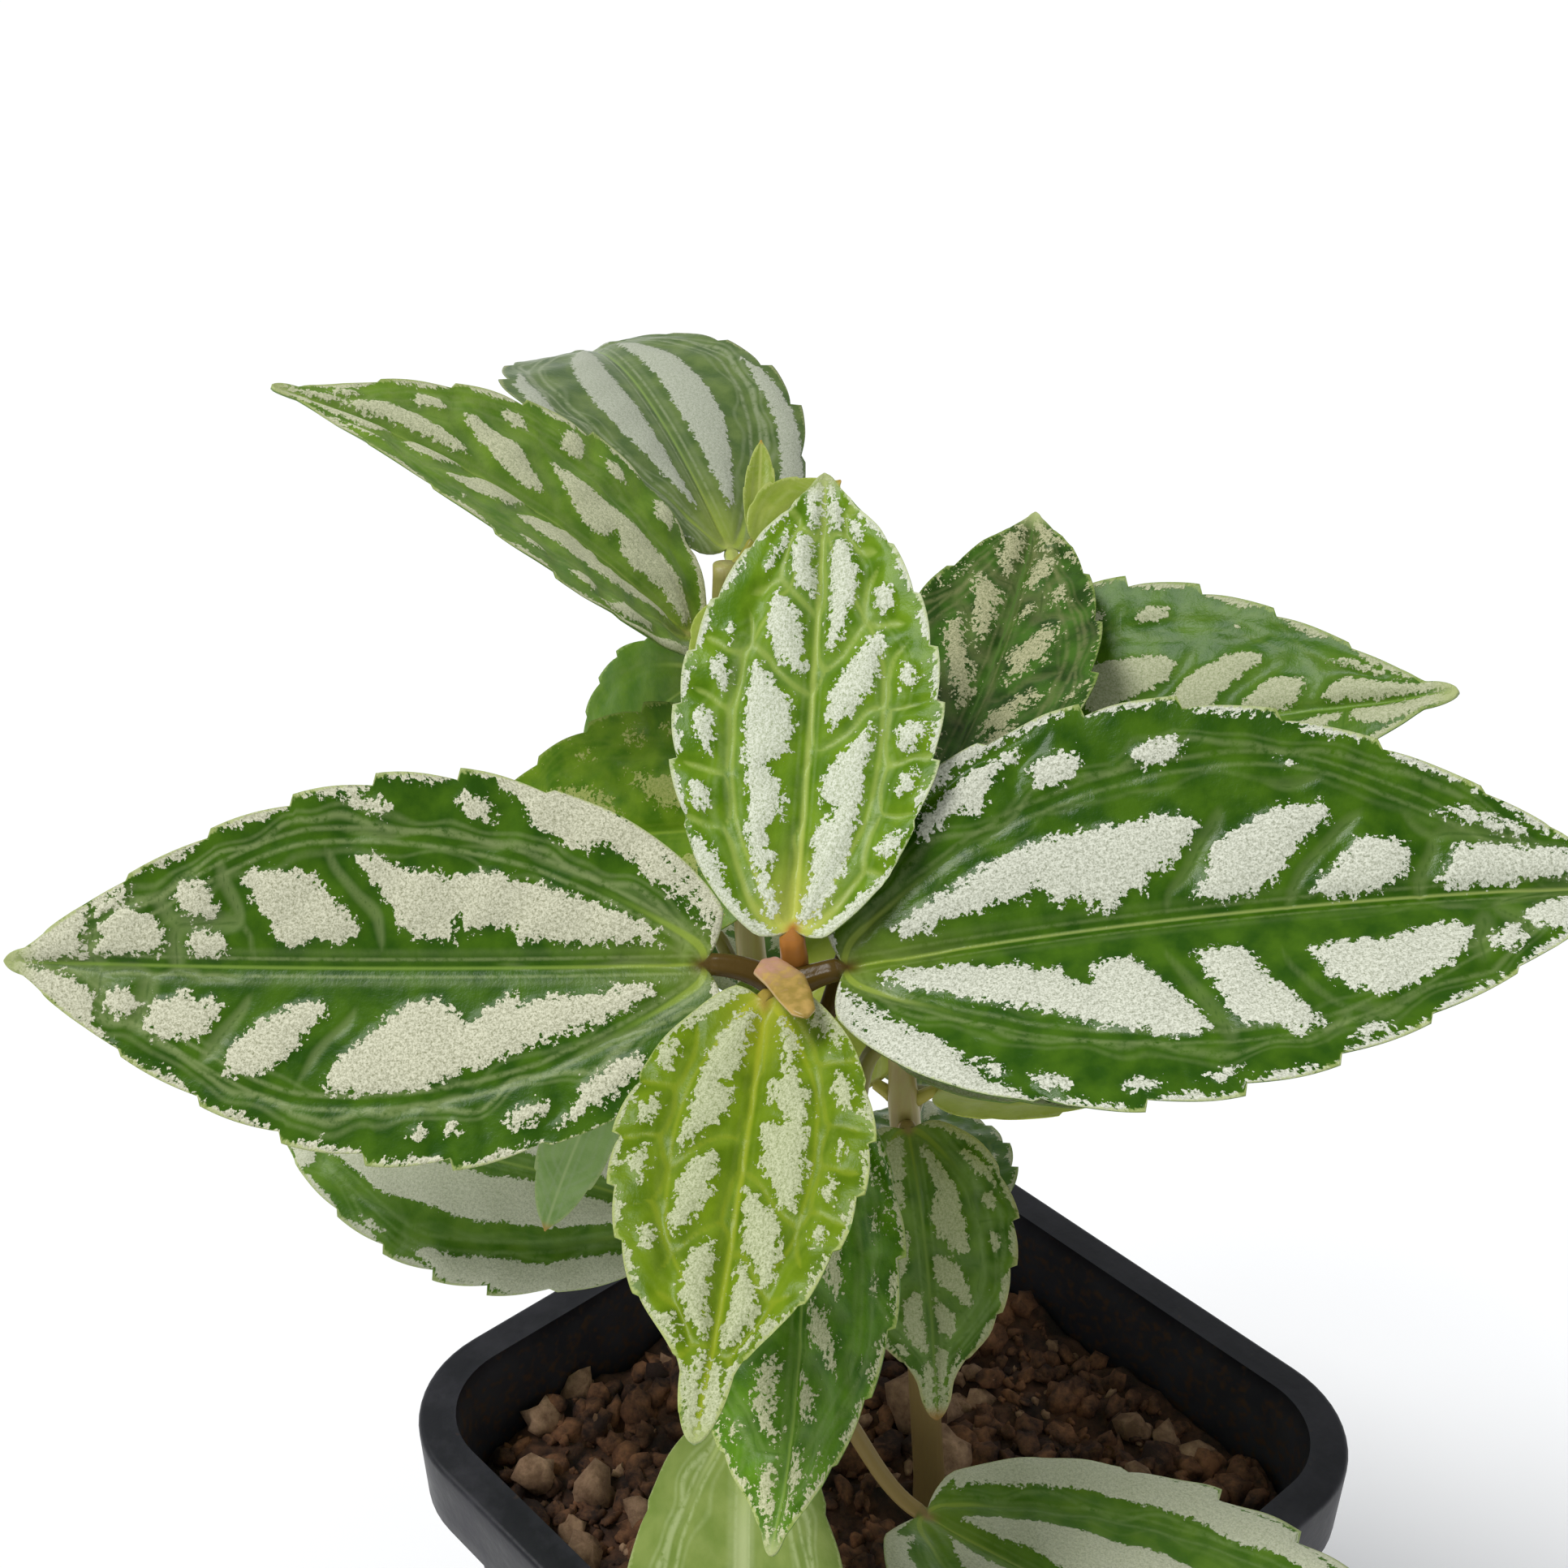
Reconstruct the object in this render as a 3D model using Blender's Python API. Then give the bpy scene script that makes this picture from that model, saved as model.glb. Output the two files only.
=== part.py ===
"""Potted aluminium plant: marbled upright pilea in a square nursery pot.

Units are metres and +Z is up. Design tables are written in millimetres and
degrees and are turned into metres by MM. The origin is the centre of the
underside of the pot, and the pot sides lie along X and Y.
"""
import bpy
import bmesh
import math
import numpy as np
from dataclasses import dataclass
from mathutils import Vector

MM = 0.001
MERGE = 0.00001
GAP = 0.3
SHARP_ANGLE = 35.0
PLANT = "potted_aluminium_plant"

# Pot, millimetres
POT_HEIGHT = 100.0
POT_RIM = 90.0
POT_RIM_CORNER = 15.75
POT_BASE = 66.0
POT_BASE_CORNER = 11.0
POT_WALL = 1.3
POT_FLOOR = 1.8
BAND_HEIGHT = 11.0
FLANGE = 4.6
CORNER_STEPS = 5
DRAIN_RADIUS = 3.6
DRAIN_OFFSET = 17.0

# Soil, millimetres
SOIL_TOP = 87.5
SOIL_HUMP = 1.6
STEM_HOLE_BOTTOM = 74.0
STEM_ROUNDNESS = 2

# Leaves, millimetres
LEAF_THICK = 0.75
GROOVE = 0.3
PUFF = 0.35
RIB = 0.45
PETIOLE_RADIUS = 0.85
LOBE = 0.045
MIDRIB_STEPS = 41

# Bud, millimetres: share of its length, half width, half height
BUD_ROOT = (9.5, -26.1, 185.3)
BUD_TIP = (18.8, -30.2, 185.9)
BUD_SIDES = 10
BUD_SHAPE = (
    (0.0, 1.0, 0.5),
    (0.14, 1.7, 0.8),
    (0.36, 2.1, 0.9),
    (0.66, 1.8, 0.9),
    (0.92, 1.1, 0.6),
    (1.0, 0.4, 0.3),
)


@dataclass(frozen=True)
class Stem:
    """One stem as a line of centres from its foot in the soil to its tip."""

    name: str
    centres: tuple
    foot_radius: float
    tip_radius: float


@dataclass(frozen=True)
class Leaf:
    """One leaf: where its petiole starts, where its blade starts, and how it lies."""

    name: str
    stem: str
    node_z: float
    base: tuple
    azimuth: float
    pitch: float
    roll: float
    length: float
    width: float
    droop: float
    sweep: float = 0.0
    twist: float = 0.0
    fold: float = 8.0
    rise: float = 0.58
    fall: float = 1.0
    lobe: float = LOBE
    kind: str = "side"


STEMS = (
    Stem(
        "main_stem", foot_radius=2.3, tip_radius=1.5, centres=(
            (4.6, -18.8, 75), (4.6, -18.8, 92), (7.6, -23.8, 128),
            (12.5, -23, 160), (12, -25, 172), (9.4, -24.4, 183),
        ),
    ),
    Stem(
        "centre_stem", foot_radius=2.2, tip_radius=1.4, centres=(
            (6, 3, 75), (6, 3, 92), (4, 1, 130),
            (1.3, 0.8, 150.3), (-4.8, 4.3, 181),
        ),
    ),
    Stem(
        "rear_stem", foot_radius=2.6, tip_radius=1.4, centres=(
            (-16, 9, 75), (-16, 9, 92), (-26.6, 3.3, 150),
            (-29, 2, 184), (-30, 2.5, 204),
        ),
    ),
    Stem(
        "side_stem", foot_radius=1.9, tip_radius=1.2, centres=(
            (-5, -11, 75), (-5, -11, 92),
            (-11, -16, 136), (-13.5, -19.5, 158),
        ),
    ),
)

# Grown leaves have six teeth a side, side leaves five, young leaves three
LEAVES = (
    Leaf(
        "left_leaf", "main_stem", node_z=182.2, base=(3.7, -29.7, 183.6),
        azimuth=224, pitch=-4.6, roll=-49, length=67.7, width=37.4,
        droop=-6.5, sweep=2.8, twist=-9, lobe=0.058, kind="grown",
    ),
    Leaf(
        "right_leaf", "main_stem", node_z=182.2, base=(13.8, -20.4, 184.1),
        azimuth=49, pitch=11.5, roll=28, length=73, width=43,
        droop=6, sweep=-6, fold=16, kind="grown",
    ),
    Leaf(
        "top_leaf", "main_stem", node_z=182.0, base=(9.0, -23.0, 187.3),
        azimuth=131, pitch=40, roll=-7, length=47.6, width=26.6,
        droop=-3, sweep=3, twist=-3, rise=0.6, fall=0.85, kind="grown",
    ),
    Leaf(
        "front_leaf", "main_stem", node_z=181.0, base=(11.6, -28.9, 182.8),
        azimuth=-48.5, pitch=-26, roll=6, length=42.2, width=23.6,
        droop=-7, sweep=-3.5, rise=0.66, fall=1.2, lobe=0.07, kind="grown",
    ),
    Leaf(
        "inner_front_leaf", "main_stem", node_z=172.0, base=(14.6, -27.0, 174.0),
        azimuth=-37, pitch=-52, roll=30, length=42.5, width=25,
        droop=-14, sweep=-20, fold=14, fall=0.95,
    ),
    Leaf(
        "back_leaf", "main_stem", node_z=173.0, base=(7.2, -9.4, 187.2),
        azimuth=108, pitch=14, roll=-7, length=55, width=26.5,
        droop=-9, sweep=17, twist=3, fold=15, fall=0.85,
    ),
    Leaf(
        "lower_left_leaf", "main_stem", node_z=161.0, base=(-4.6, -26.2, 172.6),
        azimuth=222.5, pitch=7.4, roll=-50, length=67.5, width=32,
        droop=15.5, sweep=-3, twist=-4, rise=0.5, fall=0.75,
    ),
    Leaf(
        "lower_right_leaf", "main_stem", node_z=161.0, base=(15.4, -14.4, 174.0),
        azimuth=50, pitch=10, roll=24, length=46, width=22,
        droop=8,
    ),
    Leaf(
        "low_right_leaf", "main_stem", node_z=129.0, base=(25.0, -18.0, 117.4),
        azimuth=13, pitch=0, roll=-12, length=65, width=43,
        droop=2, twist=10, fold=6, rise=0.52, fall=0.8,
    ),
    Leaf(
        "low_front_leaf", "main_stem", node_z=132.0, base=(13.2, -33.0, 134.0),
        azimuth=-45, pitch=-42, roll=38, length=43, width=26,
        droop=0, sweep=7, twist=-11, fall=0.95,
    ),
    Leaf(
        "upper_left_leaf", "rear_stem", node_z=190.0, base=(-29.0, -3.8, 198.0),
        azimuth=226, pitch=49, roll=-6, length=51, width=30.4,
        droop=27, sweep=13, twist=-8, fold=13, fall=1.2,
    ),
    Leaf(
        "upper_left_pair", "rear_stem", node_z=193.0, base=(-26.0, 6.0, 195.0),
        azimuth=44, pitch=2, roll=10, length=20, width=11,
        droop=16, fold=10, kind="young",
    ),
    Leaf(
        "arched_back_leaf", "rear_stem", node_z=200.0, base=(-38.4, 10.2, 201.0),
        azimuth=168, pitch=40, roll=22, length=55.4, width=35.8,
        droop=66, sweep=-16, twist=-34, fold=5,
    ),
    Leaf(
        "arched_back_pair", "rear_stem", node_z=200.0, base=(-26.2, 0.0, 201.4),
        azimuth=-30, pitch=-20, roll=0, length=22, width=12,
        droop=20, fold=10, kind="young",
    ),
    Leaf(
        "tip_leaf_folded", "rear_stem", node_z=203.0, base=(-30.0, 6.8, 206.2),
        azimuth=129, pitch=42, roll=12, length=11.3, width=3.8,
        droop=-4, sweep=8, fold=24, rise=0.6, fall=0.8, kind="young",
    ),
    Leaf(
        "tip_leaf_open", "rear_stem", node_z=203.0, base=(-26.1, 4.0, 207.2),
        azimuth=88, pitch=20, roll=34, length=12.4, width=9.2,
        droop=0, fold=10, kind="young",
    ),
    Leaf(
        "plain_left_leaf", "rear_stem", node_z=183.0, base=(-35.0, 3.5, 188.0),
        azimuth=197, pitch=-38, roll=-60, length=31, width=18,
        droop=28, sweep=-2, lobe=0.055,
    ),
    Leaf(
        "rear_low_left_leaf", "rear_stem", node_z=151.0, base=(-32.0, 0.4, 156.0),
        azimuth=212, pitch=-4, roll=-20, length=42, width=23,
        droop=14,
    ),
    Leaf(
        "rear_low_back_leaf", "rear_stem", node_z=140.0, base=(-30.0, 9.5, 143.0),
        azimuth=150, pitch=6, roll=0, length=44, width=24,
        droop=26,
    ),
    Leaf(
        "right_back_leaf", "centre_stem", node_z=178.0, base=(-9.4, 15.4, 186.2),
        azimuth=35.5, pitch=9.6, roll=37, length=55.7, width=33.8,
        droop=-11.5, sweep=-13, twist=-5, rise=0.6, fall=1.2,
    ),
    Leaf(
        "olive_leaf", "centre_stem", node_z=178.0, base=(-7.5, -9.0, 185.0),
        azimuth=203, pitch=-12, roll=-46, length=47, width=28,
        droop=20, sweep=2, rise=0.5,
    ),
    Leaf(
        "centre_tip_back", "centre_stem", node_z=179.4, base=(-8.8, 4.2, 182.2),
        azimuth=182, pitch=6, roll=0, length=14, width=7.5,
        droop=16, fold=12, kind="young",
    ),
    Leaf(
        "centre_tip_front", "centre_stem", node_z=174.0, base=(-0.2, 0.8, 175.6),
        azimuth=-88, pitch=-20, roll=0, length=20, width=12,
        droop=10, kind="young",
    ),
    Leaf(
        "shoot_right_leaf", "centre_stem", node_z=150.0, base=(4.4, 3.6, 151.6),
        azimuth=37, pitch=17, roll=0, length=31, width=18,
        droop=0, kind="young",
    ),
    Leaf(
        "shoot_left_leaf", "centre_stem", node_z=150.0, base=(-2.0, -0.5, 151.0),
        azimuth=165, pitch=-6, roll=-18, length=21, width=14,
        droop=0, kind="young",
    ),
    Leaf(
        "hanging_leaf", "centre_stem", node_z=147.0, base=(4.4, -1.4, 148.4),
        azimuth=-34, pitch=-19, roll=6, length=31.5, width=20,
        droop=42, sweep=-5, twist=-7, fold=10, fall=1.1,
    ),
    Leaf(
        "hanging_pair", "centre_stem", node_z=146.0, base=(-1.5, 6.5, 147.0),
        azimuth=132, pitch=-8, roll=0, length=34, width=19,
        droop=22, fold=10,
    ),
    Leaf(
        "low_back_leaf", "centre_stem", node_z=116.0, base=(-1.5, 9.0, 120.0),
        azimuth=136, pitch=4, roll=0, length=40, width=23,
        droop=28,
    ),
    Leaf(
        "low_left_leaf", "side_stem", node_z=132.0, base=(-14.0, -20.0, 135.5),
        azimuth=212, pitch=12, roll=-46, length=49, width=29,
        droop=18, sweep=3, twist=-2, rise=0.55, fall=0.78,
    ),
    Leaf(
        "narrow_tip_leaf", "side_stem", node_z=156.0, base=(-17.0, -24.4, 158.8),
        azimuth=250, pitch=-60, roll=-60, length=24, width=8,
        droop=12, fold=5, rise=0.6, fall=0.8, kind="young",
    ),
    Leaf(
        "side_tip_pair", "side_stem", node_z=156.0, base=(-12.5, -15.8, 160.0),
        azimuth=66, pitch=20, roll=0, length=18, width=9,
        droop=10, fold=10, kind="young",
    ),
)

LEAF_COLOURS = {
    "grown": (0.05, 0.16, 0.03, 1.0),
    "side": (0.04, 0.13, 0.03, 1.0),
    "young": (0.22, 0.33, 0.04, 1.0),
}
TEETH = {"grown": 6, "side": 5, "young": 3}
TOOTH_DEPTH = {"grown": 0.032, "side": 0.04, "young": 0.04}
TOOTH_MOMENTS = {"grown": (0.07, 0.92), "side": (0.08, 0.9), "young": (0.08, 0.9)}
COLUMNS = {
    "grown": (-1.0, -0.76, -0.5, -0.25, 0.0, 0.25, 0.5, 0.76, 1.0),
    "side": (-1.0, -0.52, 0.0, 0.52, 1.0),
    "young": (-1.0, -0.52, 0.0, 0.52, 1.0),
}
SMOOTH_ROWS = (0.02, 0.08, 0.17)
TEETH_START = 0.22
TEETH_END = 0.94


def add_material(obj, name, colour, roughness):
    """Give the object its own plain surface finish."""
    material = bpy.data.materials.new(name)
    material.use_nodes = True
    shader = material.node_tree.nodes["Principled BSDF"]
    shader.inputs["Base Color"].default_value = colour
    shader.inputs["Roughness"].default_value = roughness
    obj.data.materials.append(material)


def place(obj, origin=(0.0, 0.0, 0.0)):
    """Put the object in the plant's collection, under its empty, at its origin."""
    obj.location = Vector(origin) * MM
    bpy.data.collections[PLANT].objects.link(obj)
    obj.parent = bpy.data.objects[PLANT + "_origin"]


def shade(obj):
    """Shade the object smooth, with its folds kept sharp."""
    obj.data.shade_smooth()
    obj.data.set_sharp_from_angle(angle=math.radians(SHARP_ANGLE))


def skin(name, rings, origin=(0.0, 0.0, 0.0), thin_blade=False):
    """Lay one grid over a row of equal rings and close it at both ends.

    On a thin blade the quads of the upper and the lower face are split along
    matching diagonals, so that the two faces never cross.
    """
    start = Vector(origin)
    rows = len(rings)
    sides = len(rings[0])
    mesh = bmesh.new()
    bmesh.ops.create_grid(mesh, x_segments=rows - 1, y_segments=sides, size=0.5)
    upper = []
    lower = []
    for face in mesh.faces:
        strip = int((face.calc_center_median().y + 0.5) * sides)
        if strip < sides // 2:
            upper.append(face)
        else:
            lower.append(face)
    for vertex in mesh.verts:
        row = round((vertex.co.x + 0.5) * (rows - 1))
        side = round((vertex.co.y + 0.5) * sides) % sides
        vertex.co = (Vector(rings[row][side]) - start) * MM
    if thin_blade:
        bmesh.ops.triangulate(mesh, faces=upper, quad_method="FIXED")
        bmesh.ops.triangulate(mesh, faces=lower, quad_method="ALTERNATE")
    bmesh.ops.remove_doubles(mesh, verts=mesh.verts, dist=MERGE)
    bmesh.ops.holes_fill(mesh, edges=mesh.edges, sides=0)
    bmesh.ops.triangulate(mesh, faces=mesh.faces)
    bmesh.ops.recalc_face_normals(mesh, faces=mesh.faces)
    data = bpy.data.meshes.new(name)
    mesh.to_mesh(data)
    mesh.free()
    obj = bpy.data.objects.new(name, data)
    place(obj, origin)
    shade(obj)
    return obj


def rounded_square(side, corner, height):
    """Return one ring of points around a square with rounded corners."""
    half = side / 2.0 - corner
    points = []
    for quarter in range(4):
        start = quarter * 90.0
        centre_x = half if quarter in (0, 3) else -half
        centre_y = half if quarter in (0, 1) else -half
        for step in range(CORNER_STEPS + 1):
            angle = math.radians(start + 90.0 * step / CORNER_STEPS)
            x = centre_x + corner * math.cos(angle)
            y = centre_y + corner * math.sin(angle)
            points.append((x, y, height))
    return points


def wall_size(height):
    """Return the outer side and corner of the tapered pot wall at a height."""
    share = height / POT_HEIGHT
    top = POT_RIM - 2.0 * FLANGE + 2.0 * POT_WALL
    side = POT_BASE + (top - POT_BASE) * share
    corner = POT_BASE_CORNER + (POT_RIM_CORNER - FLANGE + POT_WALL - POT_BASE_CORNER) * share
    return side, corner


def wall_ring(height, inset):
    """Return a ring on the pot wall, moved inwards by the inset."""
    side, corner = wall_size(height)
    return rounded_square(side - 2.0 * inset, corner - inset, height)


def add_cutters(name, cutters, target):
    """Cut a collection of round cutters out of the target."""
    group = bpy.data.collections.new(name)
    bpy.context.scene.collection.children.link(group)
    for centre_x, centre_y, bottom, top, radius, sides in cutters:
        mesh = bmesh.new()
        bmesh.ops.create_cone(
            mesh,
            cap_ends=True,
            segments=sides,
            radius1=radius * MM,
            radius2=radius * MM,
            depth=(top - bottom) * MM,
        )
        centre = Vector((centre_x, centre_y, (top + bottom) / 2.0)) * MM
        bmesh.ops.translate(mesh, verts=mesh.verts, vec=centre)
        data = bpy.data.meshes.new(name)
        mesh.to_mesh(data)
        mesh.free()
        cutter = bpy.data.objects.new(name, data)
        cutter.hide_render = True
        cutter.display_type = "WIRE"
        group.objects.link(cutter)
    cut = target.modifiers.new(name, "BOOLEAN")
    cut.operation = "DIFFERENCE"
    cut.solver = "EXACT"
    cut.operand_type = "COLLECTION"
    cut.collection = group
    apply_modifiers(target)
    for cutter in list(group.objects):
        bpy.data.objects.remove(cutter)
    bpy.data.collections.remove(group)


def apply_modifiers(obj):
    """Replace the object's mesh by its modified form."""
    graph = bpy.context.evaluated_depsgraph_get()
    data = bpy.data.meshes.new_from_object(obj.evaluated_get(graph))
    obj.modifiers.clear()
    obj.data = data
    mesh = bmesh.new()
    mesh.from_mesh(data)
    bmesh.ops.remove_doubles(mesh, verts=mesh.verts, dist=MERGE)
    bmesh.ops.triangulate(mesh, faces=mesh.faces)
    mesh.to_mesh(data)
    mesh.free()


def build_pot():
    """Build the pot: tapered wall, hanging rim band, flat floor with drains."""
    band_inner = POT_RIM - 2.0 * POT_WALL
    band_corner = POT_RIM_CORNER - POT_WALL
    band_foot = POT_HEIGHT - BAND_HEIGHT
    flange_foot = POT_HEIGHT - POT_WALL
    rings = (
        wall_ring(0.0, 0.0),
        wall_ring(flange_foot, 0.0),
        rounded_square(band_inner, band_corner, flange_foot),
        rounded_square(band_inner - 0.8, band_corner - 0.4, band_foot),
        rounded_square(POT_RIM - 0.8, POT_RIM_CORNER - 0.4, band_foot),
        rounded_square(POT_RIM, POT_RIM_CORNER, POT_HEIGHT - 0.6),
        rounded_square(POT_RIM - 1.0, POT_RIM_CORNER - 0.5, POT_HEIGHT),
        wall_ring(POT_HEIGHT, POT_WALL),
        wall_ring(POT_FLOOR, POT_WALL),
    )
    pot = skin("pot", rings)
    drains = []
    for sign_x in (-1.0, 1.0):
        for sign_y in (-1.0, 1.0):
            x = sign_x * DRAIN_OFFSET
            y = sign_y * DRAIN_OFFSET
            drains.append((x, y, -2.0, POT_FLOOR + 2.0, DRAIN_RADIUS, 14))
    add_cutters("drains", drains, pot)
    add_material(pot, "black_pot", (0.012, 0.014, 0.018, 1.0), 0.45)


def soil_height(x, y):
    """Return the height of the bumpy soil top."""
    waves = math.sin(0.31 * x + 0.9) * math.cos(0.27 * y - 0.4)
    small = math.sin(0.83 * x - 0.61 * y) * 0.35
    return SOIL_TOP + SOIL_HUMP * (0.6 * waves + small)


def build_soil():
    """Build the filled soil with a bumpy top and a plain hole for each stem."""
    inset = POT_WALL + GAP
    rings = [wall_ring(POT_FLOOR + GAP, inset)]
    for height in (30.0, 60.0, SOIL_TOP - 2.0):
        rings.append(wall_ring(height, inset))
    edge = wall_ring(SOIL_TOP, inset)
    for share in (0.96, 0.82, 0.66, 0.5, 0.34, 0.18, 0.06):
        ring = []
        for x, y, _ in edge:
            ring.append((x * share, y * share, soil_height(x * share, y * share)))
        rings.append(ring)
    soil = skin("soil", rings)
    holes = []
    for stem in STEMS:
        centre = stem_centre(stem, STEM_HOLE_BOTTOM)
        radius = stem.foot_radius + GAP
        holes.append((centre[0], centre[1], STEM_HOLE_BOTTOM, SOIL_TOP + 8.0, radius, 14))
    add_cutters("stem_holes", holes, soil)
    add_material(soil, "potting_mix", (0.022, 0.009, 0.005, 1.0), 0.95)


def stem_centre(stem, height):
    """Return the stem's centre at a height."""
    table = np.array(stem.centres, dtype=float)
    x = float(np.interp(height, table[:, 2], table[:, 0]))
    y = float(np.interp(height, table[:, 2], table[:, 1]))
    return np.array((x, y, height))


def stem_radius(stem, height):
    """Return the stem's radius at a height."""
    foot = stem.centres[0][2]
    top = stem.centres[-1][2]
    share = (height - foot) / (top - foot)
    return stem.foot_radius + (stem.tip_radius - stem.foot_radius) * share


def build_stem(stem):
    """Build one jointed stem as a thick line that tapers from foot to tip."""
    foot = Vector(stem.centres[0])
    curve = bpy.data.curves.new(stem.name, "CURVE")
    curve.dimensions = "3D"
    curve.bevel_depth = stem.foot_radius * MM
    curve.bevel_resolution = STEM_ROUNDNESS
    curve.use_fill_caps = True
    line = curve.splines.new("POLY")
    line.points.add(len(stem.centres) - 1)
    for point, centre in zip(line.points, stem.centres):
        spot = (Vector(centre) - foot) * MM
        point.co = (spot.x, spot.y, spot.z, 1.0)
        point.radius = stem_radius(stem, centre[2]) / stem.foot_radius
    obj = bpy.data.objects.new(stem.name, curve)
    place(obj, foot)
    add_material(obj, stem.name + "_skin", (0.09, 0.12, 0.03, 1.0), 0.5)


def half_width(leaf, along):
    """Return the blade's smooth half width as a share of its greatest."""
    along = min(max(along, 1e-6), 1.0)
    peak = leaf.rise / (leaf.rise + leaf.fall)
    top = peak ** leaf.rise * (1.0 - peak) ** leaf.fall
    return along ** leaf.rise * (1.0 - along) ** leaf.fall / top


def tooth(leaf, along):
    """Return the toothed edge as a factor on the half width."""
    count = TEETH[leaf.kind]
    depth = TOOTH_DEPTH[leaf.kind]
    share = (along - TEETH_START) / (TEETH_END - TEETH_START)
    if share <= 0.0 or share >= 1.0:
        return 1.0
    phase = (share * count) % 1.0
    return 1.0 + depth * (phase * 2.0 - 1.0)


def leaf_rows(leaf):
    """Return the shares of the blade's length where it has a row of points."""
    rows = list(SMOOTH_ROWS)
    count = TEETH[leaf.kind]
    for index in range(count):
        for moment in TOOTH_MOMENTS[leaf.kind]:
            share = (index + moment) / count
            rows.append(TEETH_START + share * (TEETH_END - TEETH_START))
    rows.append(0.965)
    rows.append(1.0)
    return rows


def midrib(leaf):
    """Walk the midrib and return its points and its three directions."""
    share = np.linspace(0.0, 1.0, MIDRIB_STEPS)
    pitch = np.radians(leaf.pitch - leaf.droop * share)
    turn = np.radians(leaf.azimuth + leaf.sweep * share)
    along = np.c_[np.cos(pitch) * np.cos(turn), np.cos(pitch) * np.sin(turn), np.sin(pitch)]
    steps = (along[1:] + along[:-1]) / 2.0 * leaf.length / (MIDRIB_STEPS - 1)
    points = np.zeros((MIDRIB_STEPS, 3))
    points[0] = leaf.base
    points[1:] = points[0] + np.cumsum(steps, axis=0)
    level = np.c_[-np.sin(turn), np.cos(turn), np.zeros(MIDRIB_STEPS)]
    upright = np.cross(along, level)
    roll = np.radians(leaf.roll + leaf.twist * share)[:, None]
    side = level * np.cos(roll) + upright * np.sin(roll)
    normal = upright * np.cos(roll) - level * np.sin(roll)
    return share, points, along, side, normal


def sample(share, table, position):
    """Return the table's row at a share of the midrib."""
    return np.array([np.interp(position, share, table[:, axis]) for axis in range(3)])


def blade_ring(leaf, frames, along):
    """Return one ring of points around the blade at a share of its length."""
    share, points, forward, side, normal = frames
    centre = sample(share, points, along)
    ahead = sample(share, forward, along)
    across = sample(share, side, along)
    up = sample(share, normal, along)
    half = max(half_width(leaf, along) * tooth(leaf, along) * leaf.width / 2.0, 0.45)
    fold = math.radians(leaf.fold)
    size = min(1.0, half / 4.0)
    upper = []
    lower = []
    for column in COLUMNS[leaf.kind]:
        offset = column * half
        back = leaf.lobe * abs(column) ** 1.5 * (1.0 - along) ** 6 * leaf.length
        lift = abs(offset) * math.sin(fold)
        spot = centre - ahead * back + across * (offset * math.cos(fold)) + up * lift
        wave = math.cos(abs(column) * 4.0 * math.pi)
        relief = (PUFF - GROOVE) / 2.0 - (PUFF + GROOVE) / 2.0 * wave
        if abs(column) > 0.99:
            relief = 0.0
        rib = RIB if column == 0.0 else 0.0
        upper.append(spot + up * (LEAF_THICK / 2.0 + relief * size))
        lower.append(spot - up * (LEAF_THICK / 2.0 + (rib - 0.4 * relief) * size))
    lower.reverse()
    return upper + lower


def petiole_ring(leaf, centre, tangent, across, radius):
    """Return a round ring whose points match those of the blade's rings."""
    across = across - tangent * float(across @ tangent)
    across = across / np.linalg.norm(across)
    up = np.cross(tangent, across)
    count = len(COLUMNS[leaf.kind])
    ring = []
    for half in (0, 1):
        for index in range(count):
            share = index / (count - 1)
            angle = math.radians(165.0 - 150.0 * share - 180.0 * half)
            sideways = across * (radius * math.cos(angle))
            ring.append(centre + sideways + up * (radius * math.sin(angle)))
    return ring


def petiole_rings(leaf, frames):
    """Return the rings of the stalk from its stem to the blade."""
    stem = next(item for item in STEMS if item.name == leaf.stem)
    axis = stem_centre(stem, leaf.node_z)
    base = np.array(leaf.base, dtype=float)
    outward = base - axis
    outward[2] = 0.0
    outward = outward / np.linalg.norm(outward)
    root = axis + outward * (stem_radius(stem, leaf.node_z) + GAP + 0.15)
    ahead = frames[2][0]
    across = frames[3][0]
    reach = float(np.linalg.norm(base - root))
    start = outward * 0.9 + np.array((0.0, 0.0, 0.45))
    start = start / np.linalg.norm(start)
    first = root + start * reach * 0.4
    second = base - ahead * reach * 0.4
    steps = max(3, min(7, round(reach / 3.0)))
    rings = []
    for step in range(steps + 1):
        t = step / steps
        s = 1.0 - t
        centre = s ** 3 * root + 3 * s * s * t * first
        centre = centre + 3 * s * t * t * second + t ** 3 * base
        tangent = s * s * (first - root) + 2 * s * t * (second - first)
        tangent = tangent + t * t * (base - second)
        tangent = tangent / np.linalg.norm(tangent)
        if step == 0:
            tangent = outward
        small = 0.75 if leaf.kind == "young" else 1.0
        radius = PETIOLE_RADIUS * small * (1.12 - 0.2 * t)
        rings.append(petiole_ring(leaf, centre, tangent, across, radius))
    return rings


def build_leaf(leaf):
    """Build one leaf, blade and stalk in one closed body."""
    frames = midrib(leaf)
    rings = petiole_rings(leaf, frames)
    for along in leaf_rows(leaf):
        rings.append(blade_ring(leaf, frames, along))
    obj = skin(leaf.name, rings, origin=leaf.base, thin_blade=True)
    add_material(obj, leaf.name + "_green", LEAF_COLOURS[leaf.kind], 0.35)


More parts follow.
